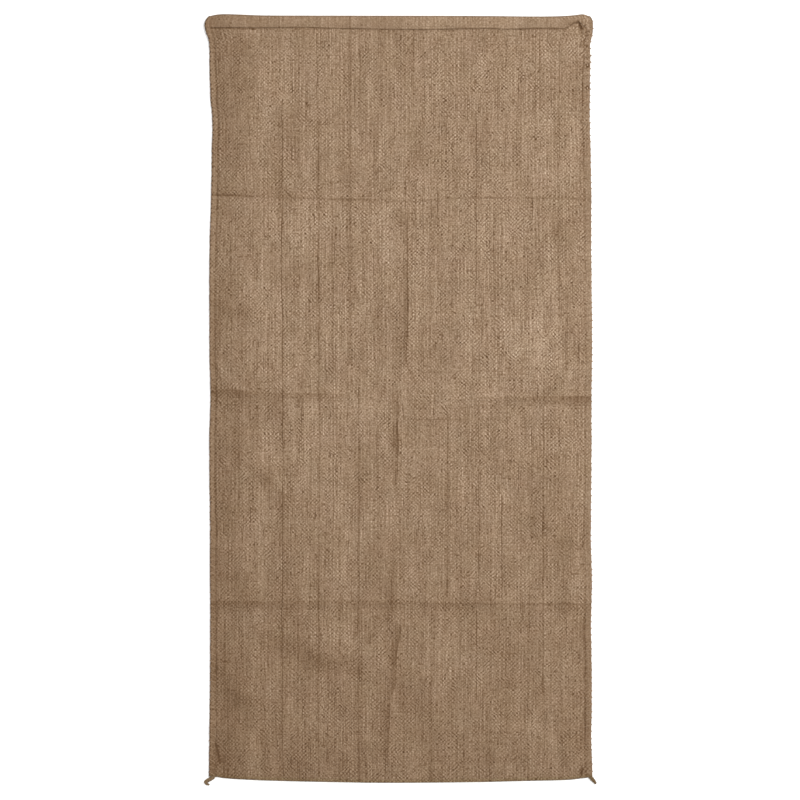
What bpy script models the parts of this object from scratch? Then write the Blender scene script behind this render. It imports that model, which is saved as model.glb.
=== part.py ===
"""Empty jute sack, lying flat with its mouth towards +Y.

One length of sacking is folded across at the bottom, joined along both sides and turned
outward at the mouth as a hem. Its underside lies on z = 0. The front layer stands a few
millimetres off the back layer, with three crosswise folds and one lengthwise fold left
from the way the sack was packed. The free end of each side seam's twine lies at its
bottom corner.

Tables and sizes are in millimetres; the mesh is in metres, +Z up.
"""
import bpy
import bmesh
import math
from collections import namedtuple

for old in list(bpy.data.objects):
    bpy.data.objects.remove(old, do_unlink=True)

MM = 0.001

# ---- driving sizes (mm) ----
HALF_WIDTH = 299.2        # half of the finished width
MOUTH_Y = 602.2           # top of the hem
HEM_Y = 582.4             # lower edge of the turned hem
FOLD_Y = -600.3           # outside of the fold at the bottom
CLOTH = 1.2               # thickness of one layer
HEM_TURN = 1.8            # the turning and the raw edge tucked into it, pressed flat
SEAM_BITE = 8.6           # joined strip along each side
SEAM_GAP = 0.5            # what is left between the layers at the seam
INSIDE_TOP = 8.3          # inner face of the front layer above the ground
RISE_LEFT = 62.0          # run over which the front layer rises from each seam
RISE_RIGHT = 46.0
RISE_FOLD = 58.0
LIFT_RUN = 46.0           # run over which the back layer comes down behind its hem
TWINE_R = 2.1             # doubled sewing twine

# ---- outline ----
Side = namedtuple("Side", "y left right")          # each edge outside HALF_WIDTH
SIDES = (
    Side(-603.0, 1.6, 2.8),
    Side(-573.0, 1.3, 1.7),
    Side(-535.0, 1.1, 0.3),
    Side(-470.0, 0.0, 1.3),
    Side(-345.0, -0.5, 0.0),
    Side(-282.0, -0.4, 1.5),
    Side(-220.0, -0.3, -0.2),
    Side(-63.0, 0.9, 0.8),
    Side(0.0, -0.8, 0.8),
    Side(78.0, 0.7, 1.7),
    Side(250.0, 0.2, 0.2),
    Side(313.0, -1.9, 0.4),
    Side(375.0, -2.8, -0.6),
    Side(438.0, -3.7, -1.8),
    Side(473.0, -0.8, -1.8),
    Side(532.0, 0.6, -1.1),
)
Ear = namedtuple("Ear", "y left right")            # the hem's ends stand out past the seams
EARS = (
    Ear(557.0, 1.2, -1.2),
    Ear(565.0, 2.5, 0.8),
    Ear(573.0, 5.6, 2.4),
    Ear(582.0, 8.2, 3.0),
    Ear(589.0, 8.6, 3.0),
    Ear(595.0, 6.4, 1.9),
    Ear(598.5, 3.7, 0.2),
    Ear(602.2, -0.4, -3.2),
)
Mouth = namedtuple("Mouth", "x edge hem")          # top edge above MOUTH_Y, hem line above HEM_Y
MOUTH = (
    Mouth(-299.0, -0.6, 0.8),
    Mouth(-285.0, 2.1, 0.8),
    Mouth(-266.0, 2.3, 0.8),
    Mouth(-220.0, 0.4, 0.0),
    Mouth(-156.0, -0.1, 0.6),
    Mouth(-110.0, -0.2, -0.8),
    Mouth(0.0, -0.3, -2.5),
    Mouth(63.0, -0.4, -2.6),
    Mouth(133.0, -0.7, -0.8),
    Mouth(166.0, -1.0, -2.2),
    Mouth(220.0, -1.4, -0.8),
    Mouth(258.0, -0.6, -0.8),
    Mouth(276.0, 0.9, 0.4),
    Mouth(289.0, 2.3, 0.8),
    Mouth(299.0, -1.2, 0.8),
)
Foot = namedtuple("Foot", "x rise")                # bottom edge above FOLD_Y
FOOT = (
    Foot(-301.0, 10.2),
    Foot(-288.0, 9.5),
    Foot(-277.0, 7.5),
    Foot(-250.0, 5.5),
    Foot(-203.0, 3.4),
    Foot(-86.0, 0.8),
    Foot(-15.0, 0.0),
    Foot(125.0, 1.25),
    Foot(196.0, 3.0),
    Foot(243.0, 3.9),
    Foot(266.0, 5.0),
    Foot(285.0, 7.4),
    Foot(301.0, 9.2),
)

# ---- folds: ridges in the front layer ----
Crease = namedtuple("Crease", "name far_left left middle right far_right rise_left rise_middle rise_right")
CREASES = (                                         # y at x = -290, -145, 0, 145, 290
    Crease("lower", -322.0, -320.5, -319.0, -318.6, -318.6, 1.8, 1.5, 1.0),
    Crease("middle", 10.0, 3.5, 1.0, 0.3, -1.0, 2.0, 0.9, 1.8),
    Crease("upper", 320.8, 315.8, 313.2, 317.0, 315.4, 1.7, 1.0, 1.1),
)
CREASE_ABOVE = 20.0       # how far a crosswise ridge spreads towards the mouth
CREASE_BELOW = 13.0       # and towards the bottom
Spine = namedtuple("Spine", "y x rise")            # lengthwise fold
SPINE = (
    Spine(602.0, 9.0, 0.0),
    Spine(330.0, 11.0, 0.2),
    Spine(250.0, 11.0, 0.9),
    Spine(126.0, 10.5, 1.6),
    Spine(53.0, 6.0, 1.6),
    Spine(0.0, -2.0, 1.0),
    Spine(-95.0, -3.0, 0.8),
    Spine(-200.0, -5.0, 0.5),
    Spine(-307.0, -1.0, 1.2),
    Spine(-358.0, 0.0, 1.6),
    Spine(-406.0, -7.0, 1.6),
    Spine(-472.0, -13.0, 1.5),
    Spine(-544.0, -18.0, 1.1),
    Spine(-600.0, -13.0, 0.3),
)
SPINE_SPREAD = 15.0
Panel = namedtuple("Panel", "name x y reach_x reach_y rise")
PANELS = (
    Panel("mouth_left", -125.0, 605.0, 85.0, 60.0, 1.5),
    Panel("mouth_right", 140.0, 605.0, 75.0, 45.0, 0.8),
    Panel("top_left", -165.0, 450.0, 105.0, 80.0, 1.9),
    Panel("top_right", 150.0, 470.0, 120.0, 85.0, 1.4),
    Panel("upper_left", -140.0, 165.0, 90.0, 95.0, 1.2),
    Panel("upper_right", 165.0, 160.0, 100.0, 105.0, 2.1),
    Panel("lower_left", -120.0, -150.0, 90.0, 95.0, 1.9),
    Panel("lower_right", 160.0, -165.0, 110.0, 95.0, 1.2),
    Panel("bottom_left", -110.0, -450.0, 85.0, 70.0, 1.4),
    Panel("bottom_right", 130.0, -430.0, 95.0, 80.0, 2.0),
)
Wrinkle = namedtuple("Wrinkle", "name x0 y0 x1 y1 spread rise")
WRINKLES = (
    Wrinkle("left_upper", -280.0, 156.0, -216.0, 128.0, 14.0, 0.8),
    Wrinkle("left_middle", -258.0, -79.0, -182.0, -157.0, 17.0, 1.5),
    Wrinkle("left_middle_end", -182.0, -157.0, -188.0, -235.0, 16.0, 0.9),
    Wrinkle("middle_left", -34.0, -190.0, -34.0, -256.0, 14.0, 0.8),
    Wrinkle("left_low", -290.0, -416.0, -243.0, -470.0, 16.0, 1.6),
    Wrinkle("left_low_end", -243.0, -470.0, -196.0, -475.0, 14.0, 0.9),
    Wrinkle("low_middle", -172.0, -384.0, -62.0, -423.0, 20.0, 1.2),
    Wrinkle("right_low", 141.0, -502.0, 251.0, -533.0, 18.0, 1.0),
)

# ---- free ends of the seam twines ----
Strand = namedtuple("Strand", "x y width")          # width as a share of TWINE_R
LEFT_END = (
    Strand(-294.6, -592.9, 1.0),
    Strand(-298.2, -594.6, 1.0),
    Strand(-302.0, -596.8, 0.98),
    Strand(-304.6, -599.0, 0.9),
    Strand(-303.9, -600.9, 0.75),
    Strand(-301.6, -602.2, 0.62),
    Strand(-298.6, -603.6, 0.48),
)
RIGHT_END = (
    Strand(299.6, -593.0, 1.0),
    Strand(301.6, -595.0, 0.95),
    Strand(303.6, -597.2, 0.85),
    Strand(305.4, -599.6, 0.7),
    Strand(307.0, -602.0, 0.45),
)


def smooth(t):
    t = min(1.0, max(0.0, t))
    return t * t * (3.0 - 2.0 * t)


def rise(t):
    """0 at a seam, 1 on the open cloth, steepest at the seam."""
    t = min(1.0, max(0.0, t))
    return 1.0 - (1.0 - t) ** 2


def read(rows, key, value, at):
    """Smooth curve through the rows' value column, read along the key column."""
    pts = sorted((getattr(r, key), getattr(r, value)) for r in rows)
    if at <= pts[0][0]:
        return pts[0][1]
    if at >= pts[-1][0]:
        return pts[-1][1]
    slopes = []
    for i in range(len(pts)):
        a, b = pts[max(0, i - 1)], pts[min(len(pts) - 1, i + 1)]
        slopes.append((b[1] - a[1]) / (b[0] - a[0]))
    i = max(j for j in range(len(pts) - 1) if pts[j][0] <= at)
    (x0, y0), (x1, y1) = pts[i], pts[i + 1]
    h = x1 - x0
    t = (at - x0) / h
    return (
        (2 * t ** 3 - 3 * t * t + 1) * y0
        + (t ** 3 - 2 * t * t + t) * h * slopes[i]
        + (3 * t * t - 2 * t ** 3) * y1
        + (t ** 3 - t * t) * h * slopes[i + 1]
    )


OUTLINE = SIDES + EARS


def left_edge(y):
    return -HALF_WIDTH - read(OUTLINE, "y", "left", y)


def right_edge(y):
    return HALF_WIDTH + read(OUTLINE, "y", "right", y)


def crease_y(c, x):
    knots = ((-290.0, c.far_left), (-145.0, c.left), (0.0, c.middle), (145.0, c.right), (290.0, c.far_right))
    x = min(290.0, max(-290.0, x))
    for (x0, y0), (x1, y1) in zip(knots, knots[1:]):
        if x <= x1:
            return y0 + (y1 - y0) * smooth((x - x0) / (x1 - x0))
    return c.far_right


def crease_rise(c, x):
    if x < 0.0:
        return c.rise_middle + (c.rise_left - c.rise_middle) * smooth(-x / 270.0)
    return c.rise_middle + (c.rise_right - c.rise_middle) * smooth(x / 270.0)


def off_line(x, y, w):
    """Distance from a wrinkle's line, and how near the point is to its ends."""
    dx, dy = w.x1 - w.x0, w.y1 - w.y0
    span = math.hypot(dx, dy)
    along = ((x - w.x0) * dx + (y - w.y0) * dy) / span
    across = ((x - w.x0) * dy - (y - w.y0) * dx) / span
    past = max(0.0, -along, along - span)
    return math.hypot(across, past)


def inside_top(x, y):
    """Inner face of the front layer, clear of the seams."""
    z = INSIDE_TOP
    for c in CREASES:
        d = y - crease_y(c, x)
        spread = CREASE_ABOVE if d > 0.0 else CREASE_BELOW
        z += crease_rise(c, x) * math.exp(-abs(d) / spread * 1.6)
    d = x - read(SPINE, "y", "x", y)
    z += read(SPINE, "y", "rise", y) * math.exp(-abs(d) / SPINE_SPREAD * 1.6)
    for p in PANELS:
        z += p.rise * math.exp(-((x - p.x) / p.reach_x) ** 2 - ((y - p.y) / p.reach_y) ** 2)
    for w in WRINKLES:
        z += w.rise * math.exp(-(off_line(x, y, w) / w.spread) ** 2)
    return z


def hem_line(x):
    return HEM_Y + read(MOUTH, "x", "hem", x)


def back_lift(x, y):
    """How far the single back layer is held off the ground by its own hem."""
    return HEM_TURN * (1.0 - smooth((hem_line(x) - y) / LIFT_RUN))


# Crosswise rows run between these guides, lengthwise columns between the side guides.
GUIDES = (
    ("foot", FOLD_Y, lambda x: FOLD_Y + read(FOOT, "x", "rise", x)),
    ("lower", -319.0, lambda x: crease_y(CREASES[0], x)),
    ("middle", 1.0, lambda x: crease_y(CREASES[1], x)),
    ("upper", 315.0, lambda x: crease_y(CREASES[2], x)),
    ("hem", HEM_Y, hem_line),
    ("mouth", MOUTH_Y, lambda x: MOUTH_Y + read(MOUTH, "x", "edge", x)),
)
ROW_STEP = 36.0
COLUMN_STEP = 31.0


def spaced(length, near_start, near_end, step):
    """Distances from the start of a span: close rows at its ends, even rows between."""
    a = near_start[-1] if near_start else 0.0
    b = length - (near_end[-1] if near_end else 0.0)
    n = max(1, round((b - a) / step))
    mid = [a + (b - a) * i / n for i in range(1, n)]
    return list(near_start) + mid + [length - d for d in reversed(near_end)]


Row = namedtuple("Row", "section share depth hem top")   # depth: distance from the foot


def make_rows():
    near = {
        0: ((0.0, 1.0, 3.0, 7.0, 14.0, 26.0, 44.0), (4.0, 10.0, 20.0)),
        1: ((0.0, 4.0, 10.0, 20.0), (4.0, 10.0, 20.0)),
        2: ((0.0, 4.0, 10.0, 20.0), (4.0, 10.0, 20.0)),
        3: ((0.0, 4.0, 10.0, 20.0), (0.25, 6.0, 13.0, 23.0, 36.0)),
        4: ((0.0, 5.0, 10.0, 14.5, 17.8), ()),
    }
    rows = []
    for s in range(5):
        length = GUIDES[s + 1][1] - GUIDES[s][1]
        if s == 4:
            offsets = list(near[4][0]) + [length]
        else:
            offsets = spaced(length, near[s][0], near[s][1], ROW_STEP)
        for o in offsets:
            rows.append(Row(s, o / length, GUIDES[s][1] - FOLD_Y + o, s == 4, s == 4 and o == length))
    return rows


def row_y(row, x):
    a, b = GUIDES[row.section][2], GUIDES[row.section + 1][2]
    return a(x) + (b(x) - a(x)) * row.share


def row_level(row):
    a, b = GUIDES[row.section][1], GUIDES[row.section + 1][1]
    return a + (b - a) * row.share


def column_xs(level):
    """x of every column at one level: left strip, left half, right half, right strip."""
    xl, xr = left_edge(level), right_edge(level)
    xc = read(SPINE, "y", "x", level)
    half = spaced(HALF_WIDTH - SEAM_BITE, (0.0, 4.0, 11.0, 22.0, 38.0), (5.0, 14.0), COLUMN_STEP)
    a, b = xl + SEAM_BITE, xr - SEAM_BITE
    shares = [h / (HALF_WIDTH - SEAM_BITE) for h in half]
    left = [a + (xc - a) * s for s in shares] + [xc]
    right = [b + (xc - b) * s for s in reversed(shares)]
    return [xl, xl + 0.7, xl + 4.6], left + right, [xr - 4.6, xr - 0.7, xr]


def heights(row, x, y, xl, xr):
    """Ground side, inner back, inner front and top of the sack at one point."""
    lift = back_lift(x, y)
    turn = HEM_TURN if row.hem else 0.0
    ground = 0.0 if row.hem else lift
    back = CLOTH + (turn if row.hem else lift)
    side = rise((x - xl - SEAM_BITE) / RISE_LEFT) * rise((xr - SEAM_BITE - x) / RISE_RIGHT)
    foot = rise((row.depth - 1.7) / RISE_FOLD)
    front = back + SEAM_GAP + (inside_top(x, y) - back - SEAM_GAP) * side * foot
    top = front + CLOTH + turn
    return ground, back, front, top


def build_cloth():
    bm = bmesh.new()

    def vert(x, y, z):
        return bm.verts.new((x * MM, y * MM, z * MM))

    rows = make_rows()
    tops, grounds, fronts, backs = [], [], [], []
    for i, row in enumerate(rows):
        level = row_level(row)
        strip_l, inner, strip_r = column_xs(level)
        xl, xr = strip_l[0], strip_r[-1]
        xs = strip_l + inner + strip_r
        if i == 0:
            # outside of the bottom fold: one line, shared by front and back
            line = [vert(x, row_y(row, x), CLOTH + 0.7) for x in xs]
            tops.append(line)
            grounds.append(line)
            continue
        top_row, front_row = [], []
        for x in xs:
            y = row_y(row, x)
            ground, back, front, top = heights(row, x, y, xl, xr)
            if row.top:
                top -= 1.0
            elif i == 1:
                top = CLOTH + 0.7 + (top - CLOTH - 0.7) * 0.72
            edge = min(x - xl, xr - x)
            if edge < 0.01:
                top = ground + (top - ground) * 0.5
            elif edge < 1.0:
                top -= 0.25
            top_row.append(vert(x, y, top))
            if x in inner:
                front_row.append((x, y, front))
        wide = [inner[0], inner[0] + (inner[-1] - inner[0]) / 3.0, inner[0] + (inner[-1] - inner[0]) / 1.5, inner[-1]]
        ground_row, back_row = [top_row[0]], []
        for x in [strip_l[1]] + wide + [strip_r[1]]:
            y = row_y(row, x)
            ground, back, front, top = heights(row, x, y, xl, xr)
            if row.top:
                ground += 1.0
            elif i == 1:
                ground = 0.45
            ground_row.append(vert(x, y, ground))
            if x in wide:
                back_row.append((x, y, back))
        ground_row.append(top_row[-1])
        tops.append(top_row)
        grounds.append(ground_row)
        if i >= 2:
            fronts.append([vert(*p) for p in front_row])
            backs.append([vert(*p) for p in back_row])

    # inside of the bottom fold
    level = row_level(rows[0])
    strip_l, inner, strip_r = column_xs(level)
    nose = [vert(x, row_y(rows[0], x) + 1.75, CLOTH + 0.7) for x in inner]

    def face(*corners):
        bm.faces.new(corners)

    def strip(row_a, row_b):
        for j in range(len(row_a) - 1):
            face(row_a[j], row_a[j + 1], row_b[j + 1], row_b[j])

    # front of the sack, outside, faces up; back, outside, faces down
    for a, b in zip(tops, tops[1:]):
        strip(a, b)
    for a, b in zip(grounds[1:], grounds[2:]):
        strip(b, a)

    def bridge(fine, coarse, flip):
        """Join a fine line to a coarse line over the same span, cell by cell."""
        at = 0
        for j in range(len(coarse) - 1):
            limit = coarse[j + 1].co.x
            end = at
            while end < len(fine) - 1 and fine[end].co.x < limit - 1e-7:
                end += 1
            if j == len(coarse) - 2:
                end = len(fine) - 1
            loop = list(fine[at:end + 1]) + [coarse[j + 1], coarse[j]]
            seen = []
            for v in loop:
                if v not in seen:
                    seen.append(v)
            if len(seen) > 2:
                bm.faces.new(seen if flip else seen[::-1])
            at = end
    bridge(grounds[0], grounds[1], True)

    # inside of the sack
    for a, b in zip(fronts, fronts[1:]):
        strip(b, a)
    for a, b in zip(backs, backs[1:]):
        strip(a, b)
    for k in range(len(fronts) - 1):
        f0, f1, b0, b1 = fronts[k], fronts[k + 1], backs[k], backs[k + 1]
        face(f0[0], f1[0], b1[0], b0[0])
        face(f1[-1], f0[-1], b0[-1], b1[-1])
    strip(fronts[0], nose)
    bridge(nose, backs[0], False)
    face(fronts[0][0], backs[0][0], nose[0])
    face(fronts[0][-1], nose[-1], backs[0][-1])

    # rim of the mouth
    t, g, f, b = tops[-1], grounds[-1], fronts[-1], backs[-1]
    n = 3                                        # columns in each side strip
    strip(t[n:len(t) - n], f)
    strip(b, g[2:-2])
    face(g[1], t[0], t[1], t[2], t[3], f[0], b[0], g[2])
    face(g[-2], g[-3], b[-1], f[-1], t[-4], t[-3], t[-2], t[-1])

    bmesh.ops.recalc_face_normals(bm, faces=bm.faces[:])
    mesh = bpy.data.meshes.new("sack_cloth")
    bm.to_mesh(mesh)
    bm.free()
    return mesh


def material(name, colour, rough):
    m = bpy.data.materials.new(name)
    m.use_nodes = True
    shader = m.node_tree.nodes["Principled BSDF"]
    shader.inputs["Base Color"].default_value = (*colour, 1.0)
    shader.inputs["Roughness"].default_value = rough
    shader.inputs["Metallic"].default_value = 0.0
    return m


def add(name, data, mat):
    data.materials.append(mat)
    ob = bpy.data.objects.new(name, data)
    bpy.context.scene.collection.objects.link(ob)
    return ob


def twine(name, rows, mat):
    """A free end of doubled twine, lying on the ground, thinner towards its tip."""
    curve = bpy.data.curves.new(name, "CURVE")
    curve.dimensions = "3D"
    curve.bevel_depth = TWINE_R * MM
    curve.bevel_resolution = 2
    curve.use_fill_caps = True
    steps = 3
    spline = curve.splines.new("POLY")
    pts = []
    for i in range(len(rows) - 1):
        p0, p1, p2, p3 = rows[max(0, i - 1)], rows[i], rows[i + 1], rows[min(len(rows) - 1, i + 2)]
        for k in range(steps):
            t = k / steps

            def between(a, b, c, d):
                return 0.5 * (2 * b + (c - a) * t + (2 * a - 5 * b + 4 * c - d) * t * t + (3 * b - a - 3 * c + d) * t ** 3)

            pts.append((between(p0.x, p1.x, p2.x, p3.x), between(p0.y, p1.y, p2.y, p3.y),
                        between(p0.width, p1.width, p2.width, p3.width)))
    pts.append((rows[-1].x, rows[-1].y, rows[-1].width))
    spline.points.add(len(pts) - 1)
    for point, (x, y, width) in zip(spline.points, pts):
        point.co = (x * MM, y * MM, (TWINE_R + 0.1) * MM, 1.0)
        point.radius = width
    return add(name, curve, mat)


cloth_mat = material("jute_cloth", (0.318, 0.213, 0.133), 0.95)
twine_mat = material("jute_twine", (0.300, 0.190, 0.115), 0.95)
sack = add("sack_cloth", build_cloth(), cloth_mat)
sack.data.shade_smooth()
sack.data.set_sharp_from_angle(angle=math.radians(35.0))
twine("seam_twine_left", LEFT_END, twine_mat)
twine("seam_twine_right", RIGHT_END, twine_mat)
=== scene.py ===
"""Looks of the jute sack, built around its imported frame.

The sack's cloth is remade as a fine mesh on the same outline, folds and heights as its
solid, with its hem, seams, selvedge lips and bottom fold, and a procedural plain weave.
The side seams' overcast stitches, the hem's stitches and the twine's free ends are their
own pieces. Tables and sizes are in millimetres; meshes are in metres, +Z up.
"""
import math
from collections import namedtuple

import bmesh
import bpy
import numpy as np
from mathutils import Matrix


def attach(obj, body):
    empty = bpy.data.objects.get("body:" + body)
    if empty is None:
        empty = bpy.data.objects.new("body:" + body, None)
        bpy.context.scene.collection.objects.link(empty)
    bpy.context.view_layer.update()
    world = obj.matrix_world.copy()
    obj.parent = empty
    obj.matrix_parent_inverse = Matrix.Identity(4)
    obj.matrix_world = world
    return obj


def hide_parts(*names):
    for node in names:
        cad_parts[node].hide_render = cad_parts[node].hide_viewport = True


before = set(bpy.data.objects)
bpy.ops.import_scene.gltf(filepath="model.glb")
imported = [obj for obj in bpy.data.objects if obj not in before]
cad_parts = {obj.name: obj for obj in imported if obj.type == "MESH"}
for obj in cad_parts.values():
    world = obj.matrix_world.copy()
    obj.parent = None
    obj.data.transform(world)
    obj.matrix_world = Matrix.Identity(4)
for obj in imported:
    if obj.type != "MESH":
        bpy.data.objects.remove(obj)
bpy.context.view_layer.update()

MM = 0.001

# ---- driving sizes (mm), as the solids have them ----
HALF_WIDTH = 299.2        # half of the finished width
MOUTH_Y = 602.2           # top of the hem
HEM_Y = 582.4             # lower edge of the turned hem
FOLD_Y = -600.3           # outside of the fold at the bottom
CLOTH = 1.2               # thickness of one layer
HEM_TURN = 1.8            # the turning and the raw edge tucked into it, pressed flat
SEAM_BITE = 8.6           # joined strip along each side
SEAM_GAP = 0.5            # what is left between the layers at the seam
INSIDE_TOP = 8.3          # inner face of the front layer above the ground
RISE_LEFT = 62.0          # run over which the front layer rises from each seam
RISE_RIGHT = 46.0
RISE_FOLD = 58.0
LIFT_RUN = 46.0           # run over which the back layer comes down behind its hem
TWINE_R = 2.1             # doubled sewing twine

# ---- sizes of the finer shape (mm) ----
WARP_PITCH = 2.95         # lengthwise yarns, from one to the next
WEFT_PITCH = 3.0          # crosswise yarns
STITCH_PITCH = 10.4       # overcast stitches along the sides
STITCH_R = 0.8            # their twine
HEM_STITCH_PITCH = 7.0    # stitches along the hem's free edge
SEAM_LIFT = 0.8           # the seam strips lie on their own stitches
SEAM_DIP = 0.5            # how far the stitches draw the cloth in along the seam
LEFT_IN = 1.2             # the pressed cloth's left edge and mouth lie this far inside the solid's
MOUTH_IN = 0.9
PRESSED = 0.7             # share of the solid's fold heights that the pressed cloth keeps

# ---- outline ----
Side = namedtuple("Side", "y left right")          # each edge outside HALF_WIDTH
SIDES = (
    Side(-603.0, 1.6, 2.8),
    Side(-573.0, 1.3, 1.7),
    Side(-535.0, 1.1, 0.3),
    Side(-470.0, 0.0, 1.3),
    Side(-345.0, -0.5, 0.0),
    Side(-282.0, -0.4, 1.5),
    Side(-220.0, -0.3, -0.2),
    Side(-63.0, 0.9, 0.8),
    Side(0.0, -0.8, 0.8),
    Side(78.0, 0.7, 1.7),
    Side(250.0, 0.2, 0.2),
    Side(313.0, -1.9, 0.4),
    Side(375.0, -2.8, -0.6),
    Side(438.0, -3.7, -1.8),
    Side(473.0, -0.8, -1.8),
    Side(532.0, 0.6, -1.1),
)
Ear = namedtuple("Ear", "y left right")            # the hem's ends stand out past the seams
EARS = (
    Ear(557.0, 1.2, -1.2),
    Ear(565.0, 2.5, 0.8),
    Ear(573.0, 5.6, 2.4),
    Ear(582.0, 8.2, 3.0),
    Ear(589.0, 8.6, 3.0),
    Ear(595.0, 6.4, 1.9),
    Ear(598.5, 3.7, 0.2),
    Ear(602.2, -0.4, -3.2),
)
Mouth = namedtuple("Mouth", "x edge hem")          # top edge above MOUTH_Y, hem line above HEM_Y
MOUTH = (
    Mouth(-299.0, -0.6, 0.8),
    Mouth(-285.0, 2.1, 0.8),
    Mouth(-266.0, 2.3, 0.8),
    Mouth(-220.0, 0.4, 0.0),
    Mouth(-156.0, -0.1, 0.6),
    Mouth(-110.0, -0.2, -0.8),
    Mouth(0.0, -0.3, -2.5),
    Mouth(63.0, -0.4, -2.6),
    Mouth(133.0, -0.7, -0.8),
    Mouth(166.0, -1.0, -2.2),
    Mouth(220.0, -1.4, -0.8),
    Mouth(258.0, -0.6, -0.8),
    Mouth(276.0, 0.9, 0.4),
    Mouth(289.0, 2.3, 0.8),
    Mouth(299.0, -1.2, 0.8),
)
Foot = namedtuple("Foot", "x rise")                # bottom edge above FOLD_Y
FOOT = (
    Foot(-301.0, 10.2),
    Foot(-288.0, 9.5),
    Foot(-277.0, 7.5),
    Foot(-250.0, 5.5),
    Foot(-203.0, 3.4),
    Foot(-86.0, 0.8),
    Foot(-15.0, 0.0),
    Foot(125.0, 1.25),
    Foot(196.0, 3.0),
    Foot(243.0, 3.9),
    Foot(266.0, 5.0),
    Foot(285.0, 7.4),
    Foot(301.0, 9.2),
)

# ---- folds: ridges in the front layer ----
Crease = namedtuple("Crease", "name far_left left middle right far_right rise_left rise_middle rise_right")
CREASES = (                                         # y at x = -290, -145, 0, 145, 290
    Crease("lower", -322.0, -320.5, -319.0, -318.6, -318.6, 1.8, 1.5, 1.0),
    Crease("middle", 10.0, 3.5, 1.0, 0.3, -1.0, 2.0, 0.9, 1.8),
    Crease("upper", 320.8, 315.8, 313.2, 317.0, 315.4, 1.7, 1.0, 1.1),
)
CREASE_ABOVE = 20.0       # how far a crosswise ridge spreads towards the mouth
CREASE_BELOW = 13.0       # and towards the bottom
Spine = namedtuple("Spine", "y x rise")            # lengthwise fold
SPINE = (
    Spine(602.0, 9.0, 0.0),
    Spine(330.0, 11.0, 0.2),
    Spine(250.0, 11.0, 0.9),
    Spine(126.0, 10.5, 1.6),
    Spine(53.0, 6.0, 1.6),
    Spine(0.0, -2.0, 1.0),
    Spine(-95.0, -3.0, 0.8),
    Spine(-200.0, -5.0, 0.5),
    Spine(-307.0, -1.0, 1.2),
    Spine(-358.0, 0.0, 1.6),
    Spine(-406.0, -7.0, 1.6),
    Spine(-472.0, -13.0, 1.5),
    Spine(-544.0, -18.0, 1.1),
    Spine(-600.0, -13.0, 0.3),
)
SPINE_SPREAD = 15.0
Panel = namedtuple("Panel", "name x y reach_x reach_y rise")
PANELS = (
    Panel("mouth_left", -125.0, 605.0, 85.0, 60.0, 1.5),
    Panel("mouth_right", 140.0, 605.0, 75.0, 45.0, 0.8),
    Panel("top_left", -165.0, 450.0, 105.0, 80.0, 1.9),
    Panel("top_right", 150.0, 470.0, 120.0, 85.0, 1.4),
    Panel("upper_left", -140.0, 165.0, 90.0, 95.0, 1.2),
    Panel("upper_right", 165.0, 160.0, 100.0, 105.0, 2.1),
    Panel("lower_left", -120.0, -150.0, 90.0, 95.0, 1.9),
    Panel("lower_right", 160.0, -165.0, 110.0, 95.0, 1.2),
    Panel("bottom_left", -110.0, -450.0, 85.0, 70.0, 1.4),
    Panel("bottom_right", 130.0, -430.0, 95.0, 80.0, 2.0),
)
Wrinkle = namedtuple("Wrinkle", "name x0 y0 x1 y1 spread rise")
WRINKLES = (
    Wrinkle("left_upper", -280.0, 156.0, -216.0, 128.0, 14.0, 0.8),
    Wrinkle("left_middle", -258.0, -79.0, -182.0, -157.0, 17.0, 1.5),
    Wrinkle("left_middle_end", -182.0, -157.0, -188.0, -235.0, 16.0, 0.9),
    Wrinkle("middle_left", -34.0, -190.0, -34.0, -256.0, 14.0, 0.8),
    Wrinkle("left_low", -290.0, -416.0, -243.0, -470.0, 16.0, 1.6),
    Wrinkle("left_low_end", -243.0, -470.0, -196.0, -475.0, 14.0, 0.9),
    Wrinkle("low_middle", -172.0, -384.0, -62.0, -423.0, 20.0, 1.2),
    Wrinkle("right_low", 141.0, -502.0, 251.0, -533.0, 18.0, 1.0),
)
TUCKS = (                                           # small sharp dents, with painted shade inside them
    Wrinkle("corner_tuck", 277.4, 592.3, 285.0, 577.4, 1.5, 1.3),
    Wrinkle("left_slit_top", -288.5, -539.0, -285.5, -551.0, 1.1, 0.5),
    Wrinkle("left_slit_low", -285.5, -551.0, -282.5, -567.0, 1.2, 0.6),
    Wrinkle("right_spot", 285.6, -577.0, 285.4, -583.0, 1.4, 0.6),
)
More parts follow.
